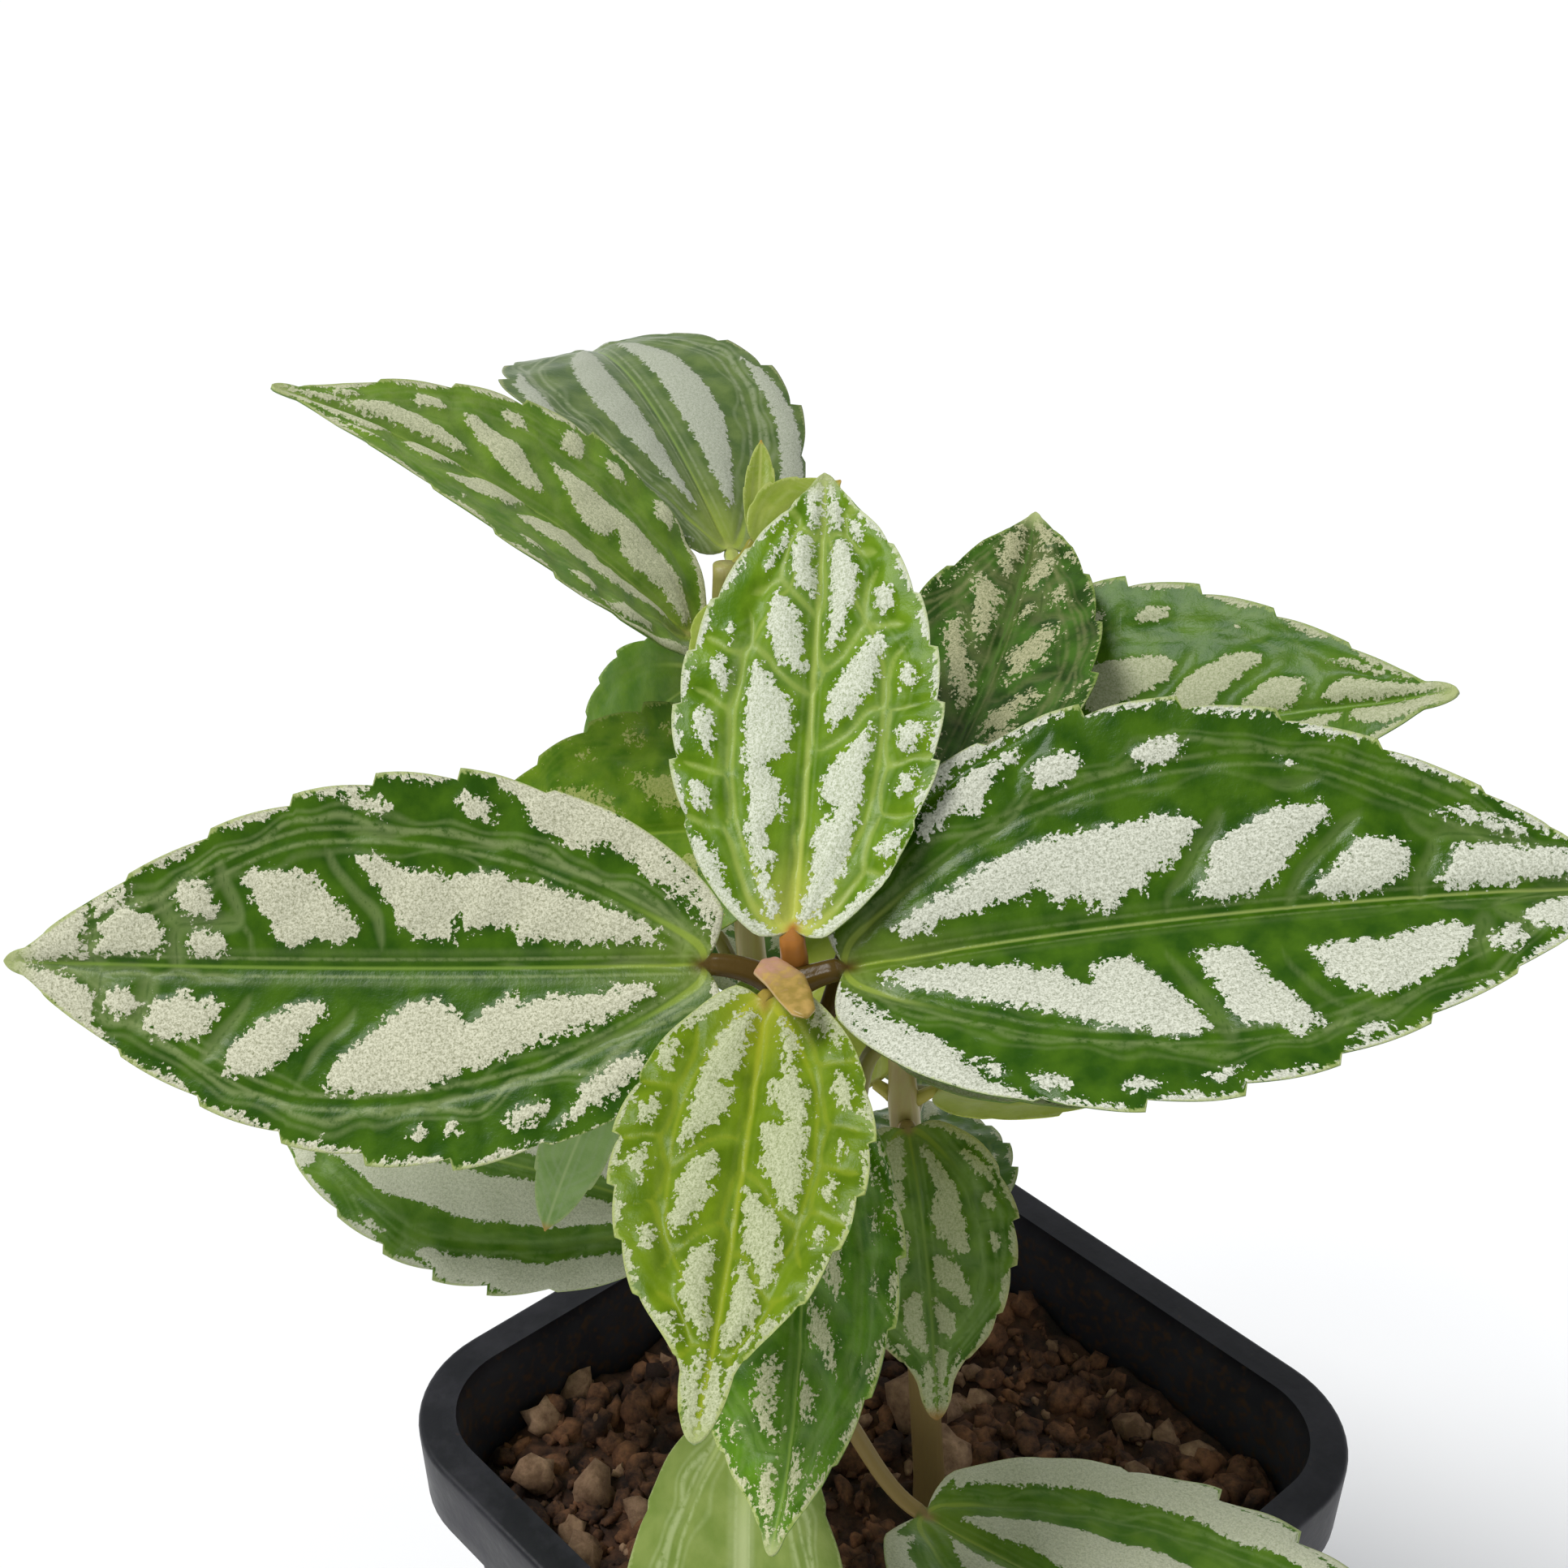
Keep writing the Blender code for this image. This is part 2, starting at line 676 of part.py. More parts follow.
def build_bud():
    """Build the folded stipule bud that lies over the front leaf's stalk."""
    root = np.array(BUD_ROOT)
    tip = np.array(BUD_TIP)
    forward = (tip - root) / np.linalg.norm(tip - root)
    across = np.cross(forward, np.array((0.0, 0.0, 1.0)))
    across = across / np.linalg.norm(across)
    up = np.cross(across, forward)
    rings = []
    for share, wide, high in BUD_SHAPE:
        centre = root + (tip - root) * share
        ring = []
        for side in range(BUD_SIDES):
            angle = 2.0 * math.pi * side / BUD_SIDES
            sideways = across * (wide * math.cos(angle))
            ring.append(centre + sideways + up * (high * math.sin(angle)))
        rings.append(ring)
    bud = skin("stipule_bud", rings, origin=root)
    add_material(bud, "bud_pink", (0.66, 0.3, 0.16, 1.0), 0.4)


def main():
    """Build every piece."""
    for obj in list(bpy.data.objects):
        bpy.data.objects.remove(obj)
    group = bpy.data.collections.new(PLANT)
    bpy.context.scene.collection.children.link(group)
    group.objects.link(bpy.data.objects.new(PLANT + "_origin", None))
    build_pot()
    build_soil()
    for stem in STEMS:
        build_stem(stem)
    for leaf in LEAVES:
        build_leaf(leaf)
    build_bud()


main()
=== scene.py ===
"""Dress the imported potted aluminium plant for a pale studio.

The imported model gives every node's place. Each node is replaced by a finer
piece of the same shape: leaves with puffed silver marbling between sunken
veins, jointed stems, crumbly potting mix and a moulded nursery pot. Lengths in
the tables are millimetres, angles are degrees, and MM turns them into metres.
Past FAR millimetres the distance to a patch of silver isn't measured.
"""
import logging
import math
from dataclasses import dataclass
from enum import Enum, auto

import bmesh
import bpy
import numpy as np
from bpy.types import Material, Node, NodeSocket, NodeTree, Object
from mathutils import Matrix, Vector, noise

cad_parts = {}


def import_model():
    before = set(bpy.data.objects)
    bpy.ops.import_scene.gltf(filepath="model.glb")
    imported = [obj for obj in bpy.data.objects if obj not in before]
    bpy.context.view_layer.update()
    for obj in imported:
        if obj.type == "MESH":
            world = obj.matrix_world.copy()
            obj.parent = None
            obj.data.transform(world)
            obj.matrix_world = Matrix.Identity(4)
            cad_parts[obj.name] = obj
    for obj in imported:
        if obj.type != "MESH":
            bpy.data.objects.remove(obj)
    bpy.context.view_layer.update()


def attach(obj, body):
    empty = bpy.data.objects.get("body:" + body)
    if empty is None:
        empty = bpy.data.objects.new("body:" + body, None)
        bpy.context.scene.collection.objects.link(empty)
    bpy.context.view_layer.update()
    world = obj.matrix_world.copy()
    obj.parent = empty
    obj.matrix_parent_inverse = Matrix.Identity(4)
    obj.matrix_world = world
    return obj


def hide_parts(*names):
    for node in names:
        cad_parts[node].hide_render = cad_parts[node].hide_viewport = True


MM = 0.001
FAR = 4.0
BODY = "root"
LOG = logging.getLogger("potted_aluminium_plant")

Point = tuple[float, float, float]


# Helpers for colours, nodes and lofted skins

def linear(code: str) -> tuple[float, float, float, float]:
    """Turn an sRGB hex colour into the linear values that a shader takes.

    Args:
        code: The colour as #rrggbb.

    Returns:
        Red, green, blue and an alpha of one.
    """
    channels = []
    for start in (1, 3, 5):
        value = int(code[start:start + 2], 16) / 255.0
        if value <= 0.04045:
            channels.append(value / 12.92)
        else:
            channels.append(((value + 0.055) / 1.055) ** 2.4)
    return channels[0], channels[1], channels[2], 1.0


def add_node(
    tree: NodeTree, kind: str, inputs: dict | None = None, **settings: object
) -> Node:
    """Add a node with its settings, its input values and its incoming links.

    Args:
        tree: The material's node tree.
        kind: The node's type name.
        inputs: Input name or index to a value, or to the socket that feeds it.
        **settings: Properties of the node itself.

    Returns:
        The new node.
    """
    node = tree.nodes.new(kind)
    for name, value in settings.items():
        setattr(node, name, value)
    for key, value in (inputs or {}).items():
        socket = node.inputs[key]
        if isinstance(value, NodeSocket):
            tree.links.new(value, socket)
        else:
            socket.default_value = value
    return node


def new_material(name: str) -> tuple[Material, Node]:
    """Make an empty material.

    Args:
        name: The finish's name.

    Returns:
        The material and its principled shader.
    """
    material = bpy.data.materials.new(name)
    material.use_nodes = True
    return material, material.node_tree.nodes["Principled BSDF"]


def coat(tree: NodeTree, under: str | NodeSocket, over: str | NodeSocket,
         *shares: float | NodeSocket) -> NodeSocket:
    """Lay one colour over another.

    Args:
        tree: The material's node tree.
        under: The hex colour below, or the socket that gives it.
        over: The hex colour on top, or the socket that gives it.
        *shares: Sockets and numbers whose product is how much lies on top.

    Returns:
        The blended colour.
    """
    share = shares[0]
    for factor in shares[1:]:
        share = add_node(tree, "ShaderNodeMath", {0: share, 1: factor},
                         operation="MULTIPLY", use_clamp=True).outputs[0]
    inputs = {0: share}
    for index, colour in ((6, under), (7, over)):
        inputs[index] = linear(colour) if isinstance(colour, str) else colour
    return add_node(tree, "ShaderNodeMix", inputs, data_type="RGBA").outputs[2]


def lay_skin(shader: Node, colour: NodeSocket, roughness: float | NodeSocket,
             relief: NodeSocket, strength: float, rise: float) -> None:
    """Give a shader its colour, its roughness and its fine relief.

    Args:
        shader: The principled shader.
        colour: The socket that gives the colour.
        roughness: A number, or the socket that gives it.
        relief: The socket that gives the height.
        strength: How strongly the relief shows.
        rise: How high it stands, in millimetres.
    """
    tree = shader.id_data
    tree.links.new(colour, shader.inputs["Base Color"])
    if isinstance(roughness, NodeSocket):
        tree.links.new(roughness, shader.inputs["Roughness"])
    else:
        shader.inputs["Roughness"].default_value = roughness
    bump = add_node(tree, "ShaderNodeBump", {
        "Strength": strength, "Distance": rise * MM, "Height": relief,
    })
    tree.links.new(bump.outputs["Normal"], shader.inputs["Normal"])


def smooth_step(low: float, high: float, value: np.ndarray) -> np.ndarray:
    """Ease a value from nought at the low end to one at the high end.

    Args:
        low: Where the result is nought.
        high: Where the result is one.
        value: The values to ease.

    Returns:
        The eased values.
    """
    share = np.clip((value - low) / (high - low), 0.0, 1.0)
    return share * share * (3.0 - 2.0 * share)


def bell(value: np.ndarray, width: float) -> np.ndarray:
    """Return a bell curve that is one at nought.

    Args:
        value: Distances from the middle.
        width: The distance at which it has fallen to about a third.

    Returns:
        The height of the bell at each distance.
    """
    return np.exp(-((value / width) ** 2))


def finish_mesh(mesh: bmesh.types.BMesh, name: str) -> Object:
    """Turn a modelled shell into a smooth object at the origin.

    Args:
        mesh: The shell, which is freed.
        name: The object's name.

    Returns:
        The object, linked into the scene.
    """
    bmesh.ops.recalc_face_normals(mesh, faces=mesh.faces)
    data = bpy.data.meshes.new(name)
    mesh.to_mesh(data)
    mesh.free()
    data.shade_smooth()
    piece = bpy.data.objects.new(name, data)
    bpy.context.scene.collection.objects.link(piece)
    return piece


def loft(
    name: str, points: np.ndarray, layers: dict[str, np.ndarray] | None = None
) -> Object:
    """Lay one grid over rows of ring points, close it round and at both ends.

    Args:
        name: The object's name.
        points: Rows, ring points and coordinates, in millimetres.
        layers: Attribute name to three values for each point.

    Returns:
        The closed, smooth shell.
    """
    rows, sides = points.shape[:2]
    mesh = bmesh.new()
    stores = {}
    for key in layers or {}:
        stores[key] = mesh.verts.layers.float_vector.new(key)
    bmesh.ops.create_grid(mesh, x_segments=rows - 1, y_segments=sides, size=0.5)
    for vertex in mesh.verts:
        row = round((vertex.co.x + 0.5) * (rows - 1))
        side = round((vertex.co.y + 0.5) * sides) % sides
        vertex.co = Vector(points[row, side]) * MM
        for key, store in stores.items():
            vertex[store] = Vector(layers[key][row, side])
    bmesh.ops.remove_doubles(mesh, verts=mesh.verts, dist=0.000001)
    bmesh.ops.holes_fill(mesh, edges=mesh.edges, sides=0)
    return finish_mesh(mesh, name)


def settle(piece: Object, slot: str, *nodes: str) -> None:
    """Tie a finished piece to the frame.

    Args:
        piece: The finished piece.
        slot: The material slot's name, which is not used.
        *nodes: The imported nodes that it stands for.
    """
    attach(piece, BODY)
    if nodes:
        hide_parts(*nodes)
    LOG.info("%s: %d faces", piece.name, len(piece.data.polygons))


# Silver marbling, drawn on one half of a blade

class Half(Enum):
    """The marbling of one half of a blade, from its midrib out to its edge."""

    LONG_BROAD = auto()
    LONG_SPLIT = auto()
    LONG_LOW = auto()
    LONG_ROUND = auto()
    FRESH_STEPPED = auto()
    FRESH_SLANTED = auto()
    FRONT_STEPPED = auto()
    FRONT_ROUND = auto()
    STRIPED = auto()
    BARE = auto()


# Draws how the outlines of the silver stray
WANDER_SEED = 0

# Each patch is a ring of points: percent of the length and of the half width
PATCHES = {
    Half.LONG_BROAD: (
        ((7, 27), (11, 33), (16, 37), (24, 43), (29, 49), (34, 54), (38, 60), (47, 67), (53, 69),
         (52, 53), (48, 37), (44, 24), (42, 19), (39, 16), (36, 18), (34, 25), (33, 30), (32, 24),
         (29, 19), (27, 12), (26, 19), (20, 16), (13, 16), (11, 12), (7, 18)),
        ((67, 75), (67, 56), (63, 35), (59, 24), (57, 20), (54, 20), (53, 26), (55, 32), (57, 45),
         (60, 61), (65, 74)),
        ((78, 68), (79, 58), (79, 40), (78, 32), (75, 27), (74, 20), (73, 24), (71, 27), (70, 22),
         (68, 27), (69, 38), (70, 51), (72, 56), (75, 63)),
        ((82, 59), (83, 61), (85, 53), (85, 40), (84, 29), (82, 24), (81, 29), (80, 43)),
        ((86, 85), (87, 45), (89, 30), (93, 20), (100, 10), (100, 110), (90, 105)),
        ((10, 67), (10, 80), (14, 85), (19, 90), (21, 90), (19, 83), (18, 72), (15, 67),
         (13, 63)),
        ((22, 79), (24, 85), (27, 85), (28, 79), (26, 74), (23, 74)),
        ((33.5, 83), (34.5, 78), (36, 80), (35.5, 86)),
        ((38, 84), (39.5, 81), (41, 85), (39.5, 88)),
    ),
    Half.LONG_SPLIT: (
        ((6, 20), (9, 19), (12, 16), (16, 15), (20, 13), (23, 16), (26, 13), (27, 21), (29, 22),
         (32, 20), (34, 19), (34.5, 28), (35.5, 21), (35.5, 13), (37, 14), (41, 16), (43, 21),
         (44, 31), (47, 45), (50, 61), (47, 61), (42, 51), (35, 47), (31, 51), (28, 49), (21, 44),
         (12, 39), (7, 31)),
        ((49, 19), (52, 13), (55, 16), (59, 12), (61, 17), (61, 24), (64, 43), (66, 61), (65, 65),
         (60, 60), (55.5, 55), (54.5, 48), (51, 32), (49, 26)),
        ((68, 8), (71, 6), (73, 10), (74, 19), (73, 28), (71, 29), (69, 24), (68, 16)),
        ((69, 40), (71, 37), (73, 40), (75, 51), (75.5, 61), (74.5, 72), (73, 72), (71, 64),
         (70, 53)),
        ((77, 16), (79, 12), (82, 13), (85, 12), (87, 16), (87, 28), (86, 43), (86.5, 56),
         (85.5, 64), (83, 67), (81, 64), (79, 50), (77, 32)),
        ((88.5, 10), (93, 10), (100, 5), (100, 110), (90, 105), (88, 85), (88.5, 50)),
        ((83, 72), (87, 72), (87, 93), (82, 93)),
        ((1, 72), (5, 69), (9, 69), (12, 76), (15.5, 77), (17, 69), (22, 72), (25, 80), (26, 88),
         (29, 95), (29, 105), (1, 105)),
        ((30, 75), (33, 77), (35, 85), (34, 90), (31, 86), (30, 80)),
        ((44, 83), (46, 80), (49, 87), (52, 95), (50, 97), (46, 90)),
    ),
    Half.LONG_LOW: (
        ((7, 26), (10, 29), (15, 33), (19, 38), (23, 42), (29, 44), (38, 45), (42, 47), (46, 46),
         (47, 42), (46, 35), (44, 27), (43, 24), (40, 20), (39, 13), (38, 17), (36, 10), (34.5, 5),
         (33, 12), (32, 8), (30.5, 16), (28, 11), (27, 20), (25.5, 24), (24, 17), (21, 20),
         (18, 16), (15, 17), (11, 13), (8, 13)),
        ((45, 8), (47, 19), (48, 29), (51, 38), (57, 51), (63, 56), (63.5, 49), (60, 35),
         (57, 21), (55.5, 13), (53, 8), (50, 6), (47, 7)),
        ((60, 5), (61, 13), (63, 20), (65, 30), (66, 36), (71, 38), (73, 32), (72, 21), (71, 11),
         (69, 6), (66, 4), (63, 3)),
        ((75.5, 11), (77, 24), (78, 37), (81, 45), (88, 56), (92, 70), (97, 110), (100, 110),
         (100, 15), (91, 20), (87, 13), (84, 8), (80, 5), (77, 5)),
        ((13, 65), (13, 77), (18, 85), (22, 88), (27, 90), (26, 85), (23, 80), (22, 72),
         (20.5, 65), (18, 70), (15.5, 67)),
        ((27, 78), (29, 81), (33, 81), (34, 76), (32.5, 69), (30, 66), (28, 70)),
        ((40, 76), (42, 81), (45.5, 83), (47, 80), (45, 72), (42, 70), (40.5, 72)),
        ((57.8, 78), (60, 76), (59, 73)),
        ((76, 62), (80, 62), (87, 68), (87, 78), (80, 76)),
        ((2, 78), (8, 80), (12, 86), (20, 93), (26, 97), (20, 105), (2, 105)),
    ),
    Half.LONG_ROUND: (
        ((4.5, 16), (8, 13), (15, 13), (19, 17), (22, 15), (24, 21), (27, 21), (28, 29),
         (30.5, 33), (31.5, 21), (33, 19), (36, 19), (38, 28), (40, 37), (42, 48), (44.5, 64),
         (43, 68), (39, 65), (35.5, 60), (32, 57), (29, 53), (25.5, 47), (22, 43), (15.5, 38),
         (9, 31), (5, 25)),
        ((44, 21), (46, 20), (49, 21), (51, 28), (53, 45), (55, 56), (58, 75), (56, 79), (54, 79),
         (53, 72), (50, 67), (49, 67), (47, 60), (45.5, 40)),
        ((58.5, 29), (61, 28), (65, 29), (68, 33), (71, 29), (74.5, 28), (77, 31), (78.3, 40),
         (77.8, 51), (76.5, 60), (74.5, 67), (69, 72), (66.5, 74), (64.5, 68), (62, 60), (60, 50),
         (58.5, 36)),
        ((80, 58), (81, 50), (83, 46), (84.5, 50), (84, 65), (85, 75), (83, 78), (81, 70)),
        ((85, 30), (87, 27), (90, 25), (95, 20), (100, 10), (100, 110), (93, 105), (88, 75),
         (86, 60)),
        ((1, 64), (4, 61), (7, 65), (9.5, 68), (11, 67), (13, 72), (14.5, 79), (16.5, 88),
         (20, 93), (22, 105), (1, 105)),
        ((15.5, 79), (17, 77), (19.5, 82), (18, 86)),
        ((22, 84), (25, 82), (27, 87), (25, 92), (22.5, 90)),
        ((32, 87), (34.5, 85), (37.2, 89), (34, 93)),
        ((42, 89), (45, 87), (47, 90), (44, 93)),
        ((60.5, 90), (63, 87), (65.5, 90), (63, 94)),
    ),
    Half.FRESH_STEPPED: (
        ((3, 48), (7, 49), (11, 45), (15, 47), (20, 47), (24.5, 44), (29, 43), (33, 45), (38, 47),
         (50, 49), (57, 48), (56.5, 40), (54.5, 35), (50, 21), (49, 16), (45, 11), (38, 12),
         (35.5, 21), (33.5, 32), (32, 24), (30, 20), (28, 16), (23, 16), (21.5, 24), (20.5, 29),
         (16.7, 28), (15.5, 21), (14, 21), (13, 29), (10, 32), (7, 27), (3, 32)),
        ((54, 8), (55.5, 19), (57, 27), (60, 35), (63, 40), (70, 45), (73, 44), (72, 35),
         (70, 24), (68, 15), (65, 12), (62, 12), (59, 8), (56, 5)),
        ((71, 3), (73, 13), (75, 24), (78, 33), (81, 37), (84.5, 42), (86, 37), (85.5, 24),
         (84, 13), (82, 8), (79.5, 11), (77, 5), (74, 3)),
        ((87, 5), (87.5, 19), (89, 32), (91, 40), (94, 60), (97, 80), (100, 80), (100, 10),
         (92, 2)),
        ((1, 80), (6, 86), (11, 80), (15.5, 77), (18, 85), (20, 93), (14, 105), (1, 105)),
        ((24, 80), (26, 87), (30, 88), (30.5, 80), (28, 73), (25, 72)),
        ((35.5, 72), (37, 78), (41, 84), (45.5, 87), (46.5, 80), (44, 72), (40, 69)),
        ((50, 66), (52, 75), (56, 82), (58.3, 78), (57, 68), (53, 63)),
        ((61, 70), (63, 76), (65, 74), (63, 68)),
        ((76, 60), (79, 66), (84, 66), (88, 60), (87, 52), (82, 54)),
    ),
    Half.FRESH_SLANTED: (
        ((2, 16), (7, 13), (10.5, 19), (13, 15), (19, 11), (21.5, 16), (23, 24), (25, 31),
         (26, 16), (29, 13), (32, 15), (35.5, 24), (38, 32), (41, 43), (43, 48), (42, 51),
         (39, 49), (33, 48), (22, 49), (17, 51), (11, 52), (7, 51), (2, 43)),
        ((42, 16), (44.5, 12), (48, 13), (50.5, 16), (53, 21), (55.5, 28), (58, 35), (60, 43),
         (62, 52), (63, 60), (61.5, 63), (59, 60), (57, 56), (53, 51), (50, 48), (48, 40),
         (45.5, 32), (43, 24)),
        ((59, 12), (62, 11), (67, 13), (71, 13), (75.5, 15), (80, 15), (83, 16), (85, 24),
         (84, 35), (83, 43), (80, 47), (77, 47), (73, 44), (70, 38), (67, 32), (63, 26), (60, 19)),
        ((86.5, 20), (89, 16), (94, 13), (100, 10), (100, 80), (96, 60), (92, 50), (88, 45),
         (86.5, 35)),
        ((15, 85), (16, 77), (18.5, 76), (20, 80), (20, 91), (18.5, 98), (16, 100)),
        ((27, 77), (29, 73), (32, 76), (33.5, 84), (30, 87), (28, 84)),
        ((36.7, 72), (39, 68), (41.7, 69), (42.8, 78), (42.2, 88), (40, 92), (37.8, 85)),
        ((49.5, 72), (52, 69), (55, 74), (55.5, 82), (53, 85), (50.5, 80)),
        ((66, 62), (69, 57), (72, 60), (73, 70), (71, 80), (68, 75)),
        ((83, 56), (86, 50), (89, 55), (88, 70), (85, 74)),
        ((1, 88), (5, 90), (8, 88), (10, 95), (9, 105), (1, 105)),
    ),
    Half.FRONT_STEPPED: (
        ((4.5, 37), (7, 44), (10, 47), (13, 47), (15.5, 40), (20, 42), (22, 47), (27, 49),
         (35, 49), (40, 51), (45, 52), (50, 50), (50, 43), (48, 35), (44.5, 29), (42, 22),
         (40, 16), (38, 12), (36.5, 15), (34.5, 15), (32, 11), (30, 12), (29, 19), (30, 29),
         (28.3, 32), (26, 21), (24, 16), (21.7, 17), (20, 13), (19, 24), (17, 28), (14.5, 28),
         (11, 27), (8, 29), (5, 32)),
        ((44, 5), (45.5, 13), (48, 22), (50, 32), (52, 40), (55.5, 45), (60, 51), (64.5, 54),
         (67, 52), (66.5, 43), (64.5, 35), (62, 27), (60, 20), (58, 13), (55.5, 11), (52, 8),
         (49, 4), (46, 4)),
        ((60.5, 12), (62, 20), (64.5, 28), (67, 37), (70, 46), (73, 55), (75.5, 58), (78.3, 57),
         (80, 47), (80, 20), (78.3, 12), (75.5, 10), (72, 14), (69, 11), (65.5, 13), (63, 12)),
        ((82, 12), (83, 30), (85, 50), (90, 80), (93, 110), (100, 110), (100, 10), (92, 6)),
        ((5, 80), (8, 87), (13, 90), (15, 85), (12, 78), (8, 72)),
        ((19, 75), (20, 84), (24, 87), (28, 83), (27, 74), (23, 70)),
        ((34.5, 75), (37, 80), (39, 76), (37, 70)),
        ((42, 73), (44.5, 79), (49, 81), (48.3, 74), (45.5, 69)),
        ((53, 74), (54.5, 82), (57.5, 84), (57.8, 76), (55.5, 71)),
        ((73, 86), (78, 85), (82, 75), (80, 64), (77, 72), (74, 80)),
    ),
    Half.FRONT_ROUND: (
        ((3, 21), (7, 15), (10, 13), (13, 16), (17, 13), (19.5, 21), (20.5, 29), (21, 19),
         (24.5, 15), (29, 20), (31, 29), (33, 37), (35.5, 45), (37.5, 51), (35, 52), (32, 49),
         (29, 48), (24.5, 49), (20, 48), (15, 49), (11, 51), (7, 47), (3, 40)),
        ((36, 21), (39, 18), (42, 18), (45.5, 20), (49, 24), (51, 29), (53, 34), (54.5, 40),
         (56.7, 47), (56, 54), (53, 55), (50.5, 52), (48, 49), (44.5, 47), (41, 43), (39, 37),
         (37, 29)),
        ((57, 14), (60, 11), (63, 14), (67, 15), (71, 14), (75.5, 12), (78.5, 15), (78, 25),
         (76, 34), (74, 42), (71, 47), (68, 46), (64.5, 43), (61, 39), (59, 32), (57.5, 22)),
        ((80, 10), (85, 8), (92, 5), (100, 5), (100, 110), (93, 90), (86, 60), (81, 35)),
        ((13, 83), (15, 76), (19, 76), (20, 82), (18, 92), (15, 95)),
        ((25, 77), (28, 72), (31.5, 75), (32, 83), (28, 88)),
        ((37, 76), (40, 71), (44.5, 71), (45.5, 77), (42, 85), (39, 87)),
        ((54, 72), (57, 66), (60, 70), (60, 78), (57, 82)),
        ((73, 62), (76, 60), (79, 70), (78, 85), (74, 85)),
    ),
    Half.STRIPED: (
        ((6, 14), (20, 11), (40, 10), (55, 13), (70, 12), (84, 16), (88, 30), (80, 42), (70, 50),
         (55, 50), (40, 48), (25, 42), (10, 32)),
        ((2, 70), (15, 68), (30, 74), (45, 76), (56, 84), (60, 92), (50, 97), (30, 98), (10, 105),
         (2, 105)),
        ((66, 84), (70, 80), (74, 84), (71, 90)),
        ((90, 10), (100, 5), (100, 110), (93, 100), (89, 60)),
    ),
    Half.BARE: (),
}


@dataclass(frozen=True)
class Marbling:
    """Where the silver lies on a blade, and how broken it is.

    left is the half on the left hand of someone who walks from stalk to tip.
    wander is how far the outlines stray, and shrink how far they draw in, in
    millimetres.
    """

    left: Half
    right: Half
    wander: float = 0.0
    shrink: float = 0.0

    def distance(self, along: np.ndarray, out: np.ndarray,
                 plane: "BladePlane") -> tuple[np.ndarray, np.ndarray]:
        """Measure how deep each point lies inside the silver.

        Args:
            along: Share of the length of each point.
            out: Signed share of the half width of each point.
            plane: The blade's flat layout.

        Returns:
            Millimetres inside the nearest patch, below nought outside, and
            the same for the patch that comes second.
        """
        spots = plane.flat(along, out)
        if self.wander > 0.0:
            shift = np.random.default_rng(WANDER_SEED).uniform(-3.0, 3.0, 3)
            spots[:, 0] += self.wander * np.sin(spots[:, 1] * 0.55 + shift[0])
            spots[:, 0] += self.wander * 0.6 * np.sin(spots[:, 1] * 1.3 + shift[1])
            spots[:, 1] += self.wander * 0.5 * np.sin(spots[:, 0] * 0.6 + shift[2])
        first = np.full(len(spots), -FAR)
        second = np.full(len(spots), -FAR)
        for half, sign in ((self.left, 1.0), (self.right, -1.0)):
            for patch in PATCHES[half]:
                ring = np.array(patch, dtype=float) / 100.0
                ring[:, 1] *= sign
                depth = ring_depth(spots, plane.outline(ring))
                second = np.maximum(second, np.minimum(first, depth))
                first = np.maximum(first, depth)
        return first - self.shrink, second - self.shrink


def ring_depth(spots: np.ndarray, ring: np.ndarray) -> np.ndarray:
    """Measure how deep points lie inside a closed ring.

    Args:
        spots: The points, in millimetres.
        ring: The ring's corners, in millimetres.

    Returns:
        The depth of each point, below nought outside, never below -FAR.
    """
    depth = np.full(len(spots), -FAR)
    low = ring.min(axis=0) - FAR
    high = ring.max(axis=0) + FAR
    near = ((spots > low) & (spots < high)).all(axis=1)
    points = spots[near]
    nearest = np.full(len(points), FAR)
    inside = np.zeros(len(points), dtype=bool)
    for start, end in zip(ring, np.roll(ring, -1, axis=0)):
        edge = end - start
        reach = np.clip(((points - start) @ edge) / (edge @ edge + 1e-9), 0.0, 1.0)
        gap = points - start - reach[:, None] * edge
        nearest = np.minimum(nearest, np.hypot(gap[:, 0], gap[:, 1]))
        straddles = (start[1] > points[:, 1]) != (end[1] > points[:, 1])
        rise = edge[1] if abs(edge[1]) > 1e-9 else 1e-9
        crossing = start[0] + (points[:, 1] - start[1]) / rise * edge[0]
        inside ^= straddles & (points[:, 0] < crossing)
    depth[near] = np.where(inside, nearest, -nearest)
    return depth


# Finishes

# Each pale line: the distance it follows, its place and its reach there in
# millimetres, the pattern that breaks it, and how strong it is
HAZE_LINES = (
    ("across", 0.85, 0.3, "thin", 0.9),
    ("across", 1.5, 0.6, "wander", 0.5),
    ("lateral", -0.65, 0.45, "thin", 0.9),
    ("lateral", 0.65, 0.4, "thin", 0.9),
    ("astray", 1.4, 0.6, "thin", 1.0),
    ("astray", 2.3, 0.4, "wander", 0.9),
    ("astray", -1.5, 0.5, "wander", 0.7),
    ("between", 0.0, 3.0, "inner", 0.7),
)


